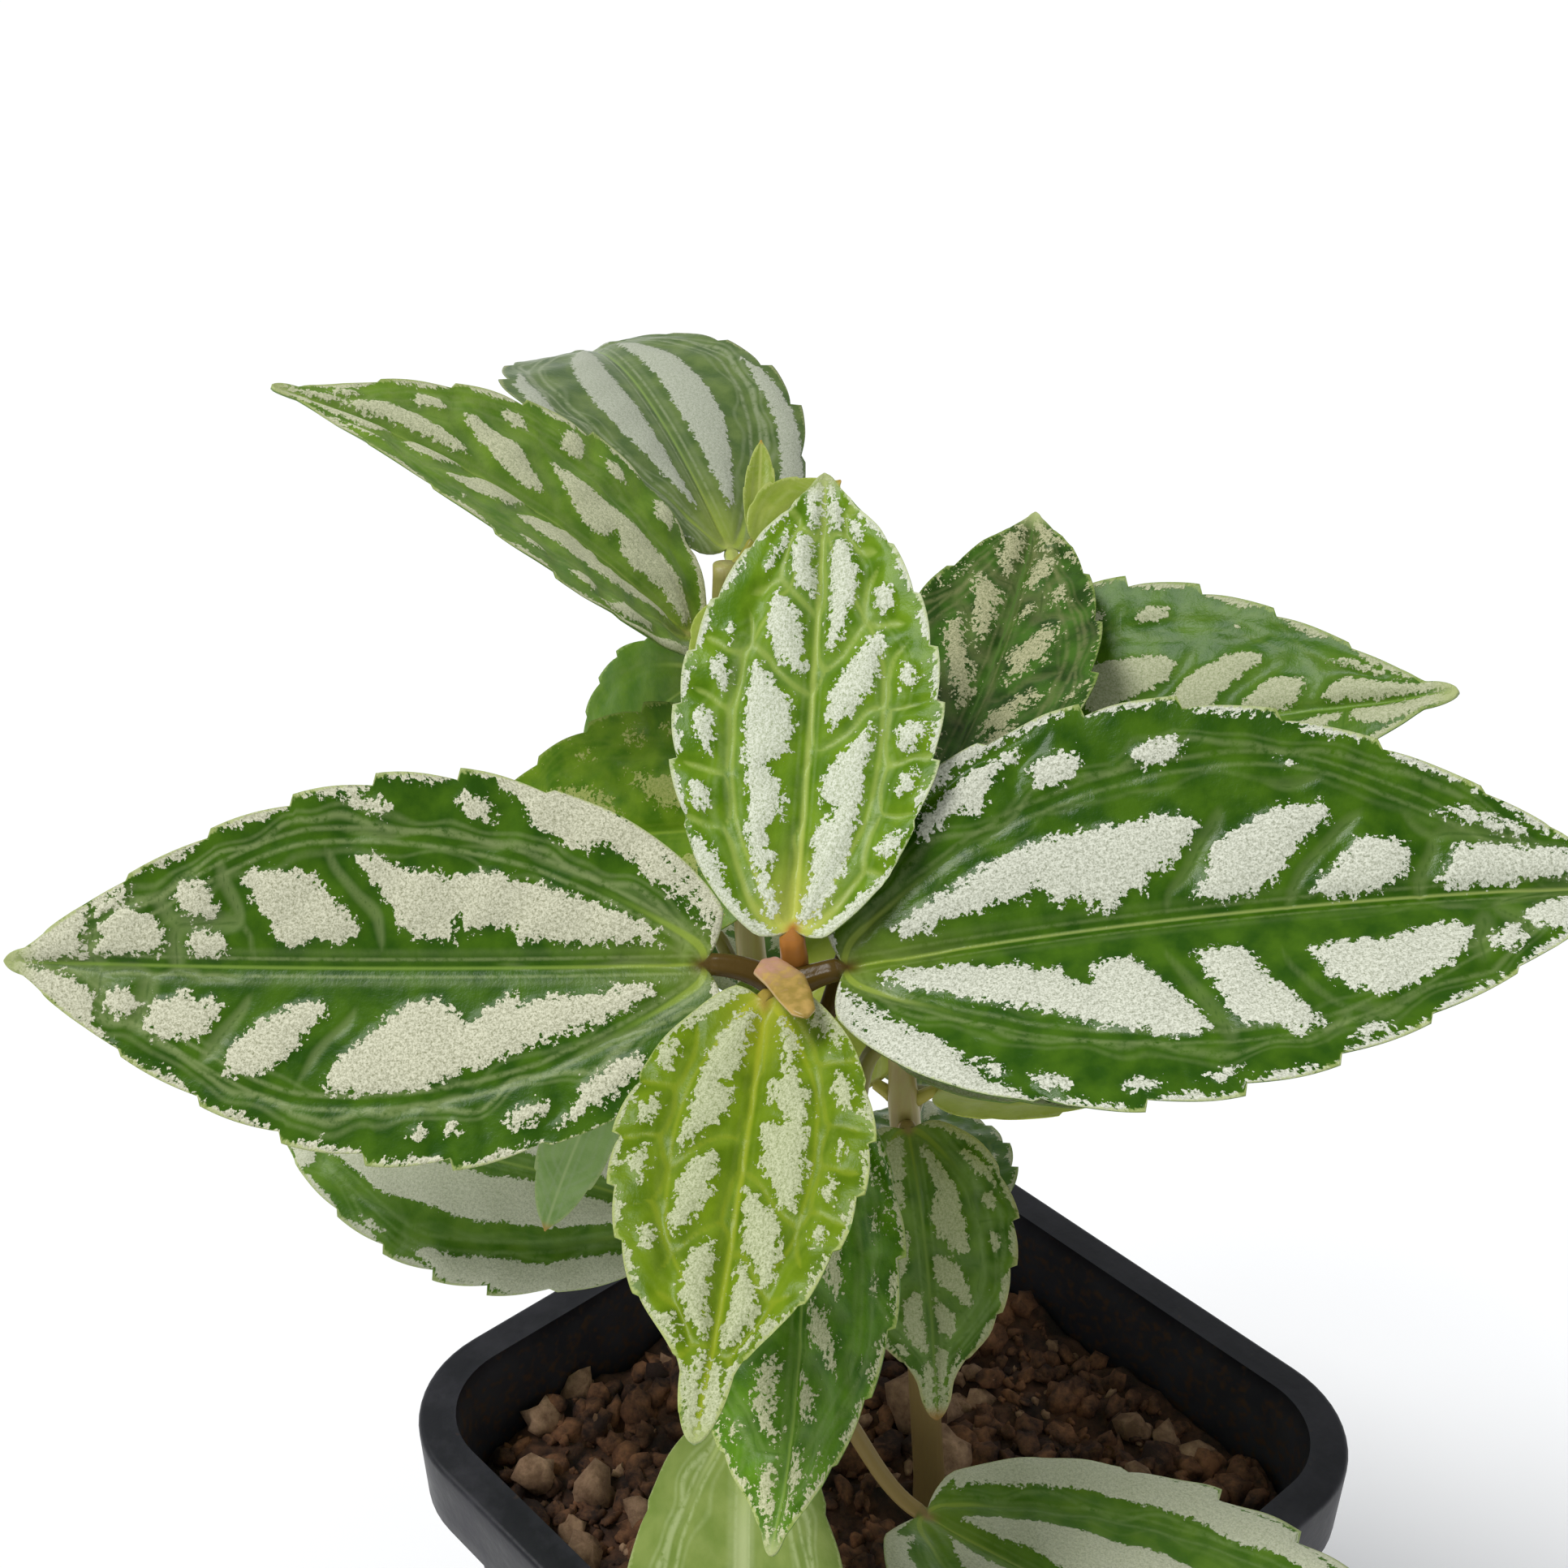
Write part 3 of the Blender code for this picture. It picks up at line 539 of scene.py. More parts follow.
@dataclass(frozen=True)
class LeafFinish:
    """Living leaf skin, smooth and satin, with granular air-filled silver patches.

    The silver is a thin layer of air under the skin, so it is matt, cream-white
    and grainy, while the green between is darker and has a soft gloss. Its
    cells are under a tenth of a millimetre, too fine to show, so the grain is
    drawn at two tenths. Sizes, widths and reaches are millimetres, and the
    scales of noises are repeats in a millimetre.
    """

    name: str
    green: str = "#42660a"
    deep: str = "#264c00"
    vein: str = "#76923c"
    joint: str = "#8ea23c"
    silver: str = "#deddc2"
    silver_shade: str = "#8a8b6a"
    haze_tone: str = "#7f9058"
    margin: str = "#a7b46c"
    under: str = "#6f8a48"
    petiole: str = "#503e16"
    tip: str = "#aab478"
    haze: float = 0.75
    rib: float = 0.3
    vein_rib: float = 0.0
    net: float = 0.6
    glow: float = 0.35
    grain_size: float = 0.2
    ragged_size: float = 1.0
    ragged: float = 0.7
    crumble: float = 0.45
    roughness: float = 0.32
    silver_roughness: float = 0.5
    specular: float = 0.14
    fork_width: float = 0.5
    fork_gain: float = 2.5
    seam_width: float = 0.45

    def line(self, tree: NodeTree, value: NodeSocket, centre: float,
             width: float) -> NodeSocket:
        """Draw a soft line where a distance has a given value.

        Args:
            tree: The material's node tree.
            value: The distance in millimetres.
            centre: The distance at which the line lies.
            width: How far it reaches on either side.

        Returns:
            One on the line and nought off it.
        """
        away = add_node(tree, "ShaderNodeMath", {0: value, 1: centre}, operation="SUBTRACT")
        away = add_node(tree, "ShaderNodeMath", {0: away.outputs[0]}, operation="ABSOLUTE")
        return add_node(tree, "ShaderNodeMapRange", {
            "Value": away.outputs[0], "From Max": width, "To Min": 1.0, "To Max": 0.0,
        }, interpolation_type="SMOOTHSTEP").outputs["Result"]

    def frayed(self, tree: NodeTree, value: NodeSocket,
               patterns: tuple[tuple[NodeSocket, float], ...], low: float,
               high: float) -> NodeSocket:
        """Cover what lies inside an edge that noise has frayed.

        Args:
            tree: The material's node tree.
            value: Millimetres inside the edge.
            patterns: Each noise, and how far it moves the edge.
            low: The distance at which the cover starts.
            high: The distance at which it is full.

        Returns:
            One inside the edge and nought outside.
        """
        for pattern, reach in patterns:
            shift = add_node(tree, "ShaderNodeMapRange", {
                "Value": pattern, "From Min": 0.3, "From Max": 0.7,
                "To Min": -reach, "To Max": reach,
            }, clamp=False).outputs["Result"]
            value = add_node(tree, "ShaderNodeMath", {0: value, 1: shift}).outputs[0]
        return add_node(tree, "ShaderNodeMapRange", {
            "Value": value, "From Min": low, "From Max": high,
        }, interpolation_type="SMOOTHSTEP").outputs["Result"]

    def noises(self, tree: NodeTree,
               flat: NodeSocket) -> dict[str, NodeSocket]:
        """Make the noises that the skin is drawn with.

        Args:
            tree: The material's node tree.
            flat: The flat place on the blade, in millimetres.

        Returns:
            The socket of each noise by name.
        """
        made = {}
        for name, scale, detail, roughness in (
            ("wander", 1.0 / self.ragged_size, 3.0, 0.65),
            ("crumbs", 2.4, 3.0, 0.65),
            ("grain", 1.0 / self.grain_size, 2.0, 0.7),
            ("cloud", 0.3, 4.0, 0.5),
            ("sway", 0.13, 1.0, 0.3),
        ):
            made[name] = add_node(tree, "ShaderNodeTexNoise", {
                "Vector": flat, "Scale": scale, "Detail": detail, "Roughness": roughness,
            }).outputs["Fac"]
        return made

    def veined_green(self, tree: NodeTree, split: dict[str, Node],
                     noises: dict[str, NodeSocket]) -> NodeSocket:
        """Paint the clouded green with its pale lines, seams and ribs.

        Args:
            tree: The material's node tree.
            split: The blade's attributes, each split into three.
            noises: The skin's noises by name.

        Returns:
            The green's colour.
        """
        across, lateral, between = split["veins"].outputs
        base = split["parts"].outputs["Z"]
        patterns = dict(noises)
        for name, value, low, high, first, last in (
            ("cloudy", noises["cloud"], 0.36, 0.64, 0.0, 1.0),
            ("thin", noises["wander"], 0.3, 0.52, 0.0, 1.0),
            ("inner", lateral, 0.4, 2.0, 1.0, 0.0),
            ("drift", noises["sway"], 0.0, 1.0, -3.0, 3.0),
        ):
            patterns[name] = add_node(tree, "ShaderNodeMapRange", {
                "Value": value, "From Min": low, "From Max": high,
                "To Min": first, "To Max": last,
            }).outputs["Result"]
        astray = add_node(tree, "ShaderNodeMath", {0: lateral, 1: patterns["drift"]})
        astray = astray.outputs[0]
        follows = {
            "across": across, "lateral": lateral, "astray": astray, "between": between,
        }
        green = coat(tree, self.deep, self.green, patterns["cloudy"])
        for value, centre, reach, pattern, share in HAZE_LINES:
            mist = self.line(tree, follows[value], centre, reach)
            green = coat(tree, green, self.haze_tone, mist, patterns[pattern],
                         share * self.haze)
        seam = self.line(tree, between, 0.0, self.seam_width)
        green = coat(tree, green, self.deep, seam, patterns["inner"], 0.5)

        # Ribs: the midrib, the fork near the stalk, and on young leaves the net
        near = add_node(tree, "ShaderNodeMath", {
            0: base, 1: self.fork_gain,
        }, operation="MULTIPLY").outputs[0]
        strands = [(lateral, self.fork_width, near)]
        if self.vein_rib > 0.0:
            strands.append((lateral, self.vein_rib, self.net))
            strands.append((between, self.vein_rib * 2.0, self.net))
        ribs = self.line(tree, across, 0.0, self.rib)
        for value, width, share in strands:
            strand = add_node(tree, "ShaderNodeMath", {
                0: self.line(tree, value, 0.0, width), 1: share,
            }, operation="MULTIPLY", use_clamp=True).outputs[0]
            ribs = add_node(tree, "ShaderNodeMath", {0: ribs, 1: strand},
                            operation="MAXIMUM").outputs[0]
        green = coat(tree, green, coat(tree, self.vein, self.joint, base), ribs, 0.9)
        return coat(tree, green, self.joint, base, base, self.glow)

    def build(self) -> Material:
        """Make the material.

        Returns:
            The leaf skin, driven by the blade's own attributes.
        """
        material, shader = new_material(self.name)
        tree = material.node_tree
        stored = {}
        split = {}
        for key in ("plane", "marks", "veins", "parts"):
            store = add_node(tree, "ShaderNodeAttribute", attribute_name=key)
            stored[key] = store.outputs["Vector"]
            split[key] = add_node(tree, "ShaderNodeSeparateXYZ", {0: stored[key]})
        noises = self.noises(tree, stored["plane"])
        wander, crumbs, grain = noises["wander"], noises["crumbs"], noises["grain"]
        inside, margin, _ = split["marks"].outputs
        stalk, tip, _ = split["parts"].outputs

        # Silver grains over the green, then the pale toothed margin
        light = add_node(tree, "ShaderNodeMath", {
            0: crumbs, 1: 0.45,
        }, operation="MULTIPLY").outputs[0]
        light = add_node(tree, "ShaderNodeMath", {
            0: grain, 1: 0.55, 2: light,
        }, operation="MULTIPLY_ADD").outputs[0]
        light = add_node(tree, "ShaderNodeMapRange", {
            "Value": light, "From Min": 0.35, "From Max": 0.58,
        }).outputs["Result"]
        silver = coat(tree, self.silver_shade, self.silver, light)
        patterns = ((wander, self.ragged), (crumbs, self.crumble))
        cover = self.frayed(tree, inside, patterns, -0.08, 0.12)
        rim = self.frayed(tree, margin, ((crumbs, 0.2),), -0.1, 0.15)
        skin = coat(tree, self.veined_green(tree, split, noises), silver, cover)
        skin = coat(tree, skin, self.margin, rim, 0.75)
        skin = coat(tree, skin, self.tip, tip)
        skin = coat(tree, skin, self.under, split["plane"].outputs["Z"])
        skin = coat(tree, skin, self.petiole, stalk)

        # Satin green and matter silver; the grain stands up by under a tenth
        gloss = add_node(tree, "ShaderNodeMapRange", {
            "Value": cover, "To Min": self.roughness, "To Max": self.silver_roughness,
        }).outputs["Result"]
        lumps = add_node(tree, "ShaderNodeMath", {
            0: cover, 1: grain, 2: wander,
        }, operation="MULTIPLY_ADD").outputs[0]
        lay_skin(shader, skin, gloss, lumps, strength=0.6, rise=0.12)
        shader.inputs["Specular IOR Level"].default_value = self.specular
        return material


MATURE = LeafFinish("mature_leaf_skin")
GLOSSY = LeafFinish(
    "glossy_leaf_skin", silver="#e0e2d0", silver_shade="#8e927a", haze=0.4, vein="#8a9a50",
    roughness=0.26,
)
FRESH = LeafFinish(
    "fresh_leaf_skin", green="#6d8f18", deep="#4e7404", vein="#a4b658", silver="#dfe3cf",
    silver_shade="#959f78", haze_tone="#93a866", margin="#bcc790", petiole="#a86e30",
    joint="#b8be54", haze=0.3, rib=0.55, vein_rib=0.5, glow=0.8,
)
LIME = LeafFinish(
    "lime_leaf_skin", green="#6f8a0e", deep="#557200", vein="#92a024", silver="#c6cba4",
    silver_shade="#858f5c", haze_tone="#869a3e", margin="#a6b262", petiole="#a99440",
    joint="#a4ac2c", haze=0.2, rib=0.5, vein_rib=0.4, net=0.5, glow=0.7,
)
SHADED = LeafFinish(
    "shaded_leaf_skin", green="#52761a", deep="#375f0c", vein="#6f9030", silver="#c0c2a0",
    silver_shade="#8b9468", haze_tone="#6a8434", margin="#8a9f50", haze=0.3, ragged=0.35,
    crumble=0.35, petiole="#7f7a40",
)
SUNLIT = LeafFinish(
    "sunlit_leaf_skin", green="#72922e", deep="#51761a", vein="#869e44", silver="#d9dab4",
    silver_shade="#9ca27a", haze_tone="#879a58", margin="#a3b266", haze=0.35, ragged=0.35,
    crumble=0.35, petiole="#8f8f48", glow=0.5,
)
# Painted fill light: a lighter copy of the leaf skin for leaves low down in the crown's shade
LOWER_PAINTED_FILL = LeafFinish(
    "lower_leaf_painted_fill_skin", green="#5f8226", deep="#446c14", vein="#86a04c", silver="#d2d4ba",
    silver_shade="#a9ae8e", haze_tone="#86a05c", margin="#a7b672", haze=0.35, ragged=0.3,
    crumble=0.3, petiole="#8f7a4a",
)
# Partly painted fill light: the broken marbling is the leaf's own, the lighter greens and silver
# paint in light on a leaf shaded by the front leaf
BROKEN_PAINTED_FILL = LeafFinish(
    "broken_marbling_painted_fill_skin", green="#5f8c1a", deep="#3d6806", vein="#84a244", silver="#d3d3ac",
    silver_shade="#8f9862", haze_tone="#7f9a50", margin="#a2b25e", haze=0.4, ragged=0.9,
    crumble=0.8,
)
# Partly painted fill light: greens lighter than the shaded skin's for a leaf hanging in the
# crown's shade; the duller silver and brown tip are its own
HANGING_PAINTED_FILL = LeafFinish(
    "hanging_leaf_painted_fill_skin", green="#638624", deep="#42661a", vein="#7f9a48", silver="#c2c59c",
    silver_shade="#939c6c", haze_tone="#86a05c", margin="#b0b076", haze=0.5, ragged=0.3,
    crumble=0.3, petiole="#8f7a4a", tip="#a8824a",
)
# Painted glow: lime shoots coloured far lighter than their own green, standing in for light
# through them in the shade of the leaves above
SHOOT_PAINTED_GLOW = LeafFinish(
    "shoot_leaf_painted_glow_skin", green="#d2dc66", deep="#c0cc4c", vein="#dae08c", margin="#d4da88",
    haze_tone="#d4da88", under="#ccd460", petiole="#b8ae5a", haze=0.3, joint="#dae08c",
)
PATCHY = LeafFinish(
    "patchy_leaf_skin", green="#42681a", deep="#223f04", vein="#4c6c28", silver="#bebc94",
    silver_shade="#6c7348", haze_tone="#7a7f50", margin="#7f9448", haze=0.5, ragged=1.1,
    crumble=0.9, rib=0.25,
)
GREYED = LeafFinish(
    "greyed_leaf_skin", green="#687c42", deep="#4c6430", vein="#7f9a4a", silver="#b9bdaa",
    silver_shade="#959c84", haze_tone="#8a9670", margin="#98a06c", haze=0.9, ragged=0.35,
    crumble=0.3, petiole="#a8b25c", joint="#9cae44", tip="#9aa34a", glow=0.8,
)
OLIVE = LeafFinish(
    "olive_leaf_skin", green="#6a8a18", deep="#456c04", vein="#7c9828", silver="#a6ac62",
    silver_shade="#768c34", haze_tone="#708a2a", margin="#869844", haze=0.3, ragged=1.0,
    crumble=0.9,
)
PLAIN = LeafFinish(
    "plain_leaf_skin", green="#5b7d18", deep="#456c0a", vein="#7d9a40", margin="#7f9a4a",
    haze=0.1,
)
PALE = LeafFinish(
    "pale_leaf_skin", green="#7f9048", deep="#6d8238", vein="#a9b47e", silver="#a3ab7b",
    silver_shade="#94a06a", haze_tone="#9caa70", margin="#98a568", under="#8fa060",
    haze=0.9, rib=1.8,
)
DIM = LeafFinish(
    "dim_leaf_skin", green="#92b068", deep="#7c9e50", vein="#a6bc7c", margin="#a0b274",
    haze_tone="#9ab07c", haze=0.5, tip="#b9924a", petiole="#84803a",
)
YOUNG = LeafFinish(
    "young_leaf_skin", green="#9eac4c", deep="#889e32", vein="#b4be68", margin="#b4be6c",
    haze_tone="#a3b060", under="#94a44e", petiole="#94903c", tip="#b9923c", haze=0.4,
    glow=0.3,
)


@dataclass(frozen=True)
class StemFinish:
    """Soft green stem skin that browns with age, with fine long ridges.

    Ridge sizes are millimetres. It is brown below one height in metres and
    green above the other.
    """

    name: str = "stem_skin"
    # The green and the brown are painted lighter than the stem's own, standing in for light on
    # stems in the crown's shade
    green: str = "#a6ac5a"
    brown: str = "#98784e"
    ridge: float = 0.5
    ridge_length: float = 12.5
    brown_below: float = 0.1
    green_above: float = 0.2

    def build(self) -> Material:
        """Make the material.

        Returns:
            The stem skin, browner towards the soil.
        """
        material, shader = new_material(self.name)
        tree = material.node_tree
        place = add_node(tree, "ShaderNodeTexCoord").outputs["Object"]
        height = add_node(tree, "ShaderNodeSeparateXYZ", {0: place}).outputs["Z"]
        age = add_node(tree, "ShaderNodeMapRange", {
            "Value": height, "From Min": self.brown_below, "From Max": self.green_above,
        }).outputs["Result"]
        fine = 1.0 / MM / self.ridge
        stretched = add_node(tree, "ShaderNodeMapping", {
            "Vector": place, "Scale": (fine, fine, 1.0 / MM / self.ridge_length),
        }).outputs["Vector"]
        ridges = add_node(tree, "ShaderNodeTexNoise", {
            "Vector": stretched, "Scale": 1.0, "Detail": 3.0,
        }).outputs["Fac"]
        youth = add_node(tree, "ShaderNodeMath", {
            0: age, 1: ridges, 2: 0.15,
        }, operation="MULTIPLY_ADD").outputs[0]
        colour = coat(tree, self.brown, self.green, youth)
        lay_skin(shader, colour, 0.45, ridges, strength=0.4, rise=0.2)
        return material


@dataclass(frozen=True)
class BudFinish:
    """Thin papery stipule, ochre with a pinker foot and a pale rim.

    Its fine streaks repeat 0.9 times a millimetre.
    """

    name: str = "stipule_skin"
    ochre: str = "#b8964e"
    pink: str = "#bc8c78"
    olive: str = "#9c8236"
    rim: str = "#d6b890"
    streak_rate: float = 0.9

    def build(self) -> Material:
        """Make the material.

        Returns:
            The stipule skin, coloured from foot to tip by the piece's attribute.
        """
        material, shader = new_material(self.name)
        tree = material.node_tree
        marks = add_node(tree, "ShaderNodeAttribute", attribute_name="marks")
        split = add_node(tree, "ShaderNodeSeparateXYZ", {0: marks.outputs["Vector"]})
        along, side, _ = split.outputs
        place = add_node(tree, "ShaderNodeTexCoord").outputs["Object"]
        streaks = add_node(tree, "ShaderNodeTexNoise", {
            "Vector": place, "Scale": self.streak_rate / MM, "Detail": 3.0,
        }).outputs["Fac"]
        grown = add_node(tree, "ShaderNodeMath", {0: along, 1: streaks}).outputs[0]
        aside = add_node(tree, "ShaderNodeMath", {
            0: side, 1: side,
        }, operation="MULTIPLY").outputs[0]
        shares = []
        for value, low, high, most in (
            (streaks, 0.4, 0.6, 1.0), (grown, 0.55, 0.95, 1.0), (aside, 0.92, 1.0, 0.7),
        ):
            shares.append(add_node(tree, "ShaderNodeMapRange", {
                "Value": value, "From Min": low, "From Max": high, "To Max": most,
            }).outputs["Result"])
        colour = coat(tree, self.olive, self.ochre, shares[0])
        colour = coat(tree, self.pink, colour, shares[1])
        colour = coat(tree, colour, self.rim, shares[2])
        lay_skin(shader, colour, 0.4, streaks, strength=0.4, rise=0.2)
        return material


@dataclass(frozen=True)
class PotFinish:
    """Moulded polypropylene, black and half matt, with soil dust and smears.

    It is black outside and duller inside, where damp soil leaves a film. Sizes
    are millimetres.
    """

    name: str = "moulded_polypropylene"
    black: str = "#15161b"
    dull: str = "#2d2e35"
    dust: str = "#4d4b53"
    mud: str = "#4a382c"
    smear_size: float = 9.0
    speck_size: float = 1.2
    ior: float = 1.49
    specular: float = 0.35

    def build(self) -> Material:
        """Make the material.

        Returns:
            The pot's plastic, dusty all over and muddy inside.
        """
        material, shader = new_material(self.name)
        tree = material.node_tree
        place = add_node(tree, "ShaderNodeTexCoord").outputs["Object"]
        marks = add_node(tree, "ShaderNodeAttribute", attribute_name="marks")
        split = add_node(tree, "ShaderNodeSeparateXYZ", {0: marks.outputs["Vector"]})
        inner = split.outputs["X"]
        smears = add_node(tree, "ShaderNodeTexNoise", {
            "Vector": place, "Scale": 1.0 / MM / self.smear_size, "Detail": 5.0,
            "Roughness": 0.65,
        }).outputs["Fac"]
        specks = add_node(tree, "ShaderNodeTexNoise", {
            "Vector": place, "Scale": 1.0 / MM / self.speck_size, "Detail": 2.0,
        }).outputs["Fac"]
        grime = add_node(tree, "ShaderNodeMath", {
            0: specks, 1: inner,
        }, operation="MULTIPLY").outputs[0]
        colour = self.black
        for tone, value, low, high, most in (
            (self.dull, inner, 0.7, 1.0, 1.0),
            (self.dust, smears, 0.45, 0.8, 0.45),
            (self.mud, grime, 0.52, 0.7, 1.0),
        ):
            share = add_node(tree, "ShaderNodeMapRange", {
                "Value": value, "From Min": low, "From Max": high, "To Max": most,
            }).outputs["Result"]
            colour = coat(tree, colour, tone, share)
        gloss = add_node(tree, "ShaderNodeMapRange", {
            "Value": smears, "From Min": 0.3, "From Max": 0.75,
            "To Min": 0.36, "To Max": 0.62,
        }).outputs["Result"]
        lay_skin(shader, colour, gloss, specks, strength=0.25, rise=0.2)
        shader.inputs["IOR"].default_value = self.ior
        shader.inputs["Specular IOR Level"].default_value = self.specular
        return material


@dataclass(frozen=True)
class CrumbFinish:
    """Moist composted bark and peat, or dry mineral grit: matt and mottled.

    Sizes are millimetres.
    """

    name: str
    dark: str
    light: str
    mottle_size: float = 1.6
    patch_size: float = 6.25

    def build(self) -> Material:
        """Make the material.

        Returns:
            The crumb, mottled from its dark to its light colour.
        """
        material, shader = new_material(self.name)
        tree = material.node_tree
        place = add_node(tree, "ShaderNodeTexCoord").outputs["Object"]
        mottle = add_node(tree, "ShaderNodeTexNoise", {
            "Vector": place, "Scale": 1.0 / MM / self.mottle_size, "Detail": 6.0,
            "Roughness": 0.7,
        }).outputs["Fac"]
        patch = add_node(tree, "ShaderNodeTexNoise", {
            "Vector": place, "Scale": 1.0 / MM / self.patch_size, "Detail": 2.0,
        }).outputs["Fac"]
        both = add_node(tree, "ShaderNodeMath", {
            0: mottle, 1: patch,
        }, operation="MULTIPLY").outputs[0]
        share = add_node(tree, "ShaderNodeMapRange", {
            "Value": both, "From Min": 0.16, "From Max": 0.4,
        }).outputs["Result"]
        colour = coat(tree, self.dark, self.light, share)
        lay_skin(shader, colour, 0.85, mottle, strength=0.8, rise=0.4)
        return material


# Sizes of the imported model, whose leaves are thicker than LEAF_THICK

POT_HEIGHT = 100.0
POT_RIM = 90.0
POT_RIM_CORNER = 15.75
POT_BASE = 66.0
POT_BASE_CORNER = 11.0
POT_WALL = 1.3
POT_FLOOR = 1.8
BAND_HEIGHT = 11.0
FLANGE = 4.6
DRAIN_RADIUS = 3.6
DRAIN_OFFSET = 17.0
SOIL_TOP = 87.5
SOIL_HUMP = 1.6
GAP = 0.3
LEAF_THICK = 0.5
PETIOLE_RADIUS = 0.85
LOBE = 0.045
MIDRIB_STEPS = 41


class Growth(Enum):
    """How far a leaf has grown, which says how it is toothed and divided."""

    GROWN = auto()
    SIDE = auto()
    YOUNG = auto()


# Teeth: the shares of the length where they start and end, how many a side, and
# the share of the half width that each stands out by
TEETH_START = 0.22
TEETH_END = 0.94
TEETH = {Growth.GROWN: 6, Growth.SIDE: 5, Growth.YOUNG: 3}
TOOTH_DEPTH = {Growth.GROWN: 0.032, Growth.SIDE: 0.04, Growth.YOUNG: 0.04}

# How finely a blade is divided: spacing in millimetres, the share of a tooth
# that its step takes, the first row's share of the length, and the columns near
# the edge as shares of the half width
POINT_SPACING = {Growth.GROWN: 0.42, Growth.SIDE: 0.62, Growth.YOUNG: 0.6}
TOOTH_STEP = 0.02
FIRST_ROW = 0.0006
EDGE_COLUMNS = (0.945, 0.965, 0.98, 0.99, 1.0)

# Teeth: how rounded they are, how far they lean ahead, and the power that keeps
# them to the edge; then the least half width, and the share of its thickness
# that the edge loses
TOOTH_ROUND = 1.6
TOOTH_LEAN = 1.1
TOOTH_POWER = 14
LEAST_HALF = 0.12
EDGE_THINNING = 0.75

# Great vein: its share of the half width at the base, what it gains at first,
# where it starts to spread, its outermost share, and where its line fades
VEIN_BASE = 0.38
VEIN_GAIN = 0.17
VEIN_SPREADS = 0.2
VEIN_LIMIT = 0.88
VEIN_FADES = (0.55, 0.8)

# What the skin reads: the margin's width and its gain at a tooth, then the
# shares of the length where each part ends, with its half width
MARGIN = 0.14
MARGIN_GAIN = 0.2
LOBES_END = (0.06, 0.2)
TIP_STARTS = (0.94, 1.0)
STALK_ENDS = (0.0, 0.03)
STALK_HALF = 0.8
BASE_ENDS = (0.0, 0.3)
BASE_HALF = 5.0

# Grooves above and keels below the veins: depth, and width in millimetres
MIDRIB_GROOVE = (0.9, 1.1)
LATERAL_GROOVE = (0.6, 0.9)
SMALL_GROOVE = (0.6, 1.4)
MIDRIB_KEEL = (0.4, 0.7)
LATERAL_KEEL = (0.2, 0.6)

# Puffed silver: its gain, how far outside the patch it starts and how soon it
# rises, the height of the blade's cockle, and the half width for full relief
PUFF_GAIN = 1.3
PUFF_START = 0.4
PUFF_REACH = 1.2
COCKLE = 0.1
FULL_RELIEF = 4.0

# Stalks: depth in the stem, pull of each end on the curve, spacing of rings,
# girth on young leaves, taper, and the swelling at the stem with its reach
STALK_SUNK = 0.3
STALK_PULL = 0.4
STALK_STEP = 0.8
YOUNG_GIRTH = 0.75
STALK_TAPER = 0.16
STALK_SWELL = 0.3
SWELL_REACH = 0.9


@dataclass(frozen=True)
class StemShape:
    """One stem as a line of centres from its foot in the soil to its tip."""

    name: str
    centres: tuple[Point, ...]
    foot_radius: float
    tip_radius: float

    def centre(self, height: float) -> np.ndarray:
        """Work out where the stem's centre is.

        Args:
            height: The height in millimetres.

        Returns:
            The centre there.
        """
        table = np.array(self.centres, dtype=float)
        across = np.interp(height, table[:, 2], table[:, 0])
        deep = np.interp(height, table[:, 2], table[:, 1])
        return np.array((across, deep, height))

    def radius(self, height: float) -> float:
        """Work out how thick the stem is.

        Args:
            height: The height in millimetres.

        Returns:
            The radius there.
        """
        foot = self.centres[0][2]
        top = self.centres[-1][2]
        share = (height - foot) / (top - foot)
        return self.foot_radius + (self.tip_radius - self.foot_radius) * share


MAIN = StemShape(
    "main_stem", foot_radius=2.3, tip_radius=1.5, centres=(
        (4.6, -18.8, 75), (4.6, -18.8, 92), (7.6, -23.8, 128),
        (12.5, -23, 160), (12, -25, 172), (9.4, -24.4, 183),
    ),
)
CENTRE = StemShape(
    "centre_stem", foot_radius=2.2, tip_radius=1.4, centres=(
        (6, 3, 75), (6, 3, 92), (4, 1, 130),
        (1.3, 0.8, 150.3), (-4.8, 4.3, 181),
    ),
)
REAR = StemShape(
    "rear_stem", foot_radius=2.6, tip_radius=1.4, centres=(
        (-16, 9, 75), (-16, 9, 92), (-26.6, 3.3, 150),
        (-29, 2, 184), (-30, 2.5, 204),
    ),
)
SIDE = StemShape(
    "side_stem", foot_radius=1.9, tip_radius=1.2, centres=(
        (-5, -11, 75), (-5, -11, 92),
        (-11, -16, 136), (-13.5, -19.5, 158),
    ),
)


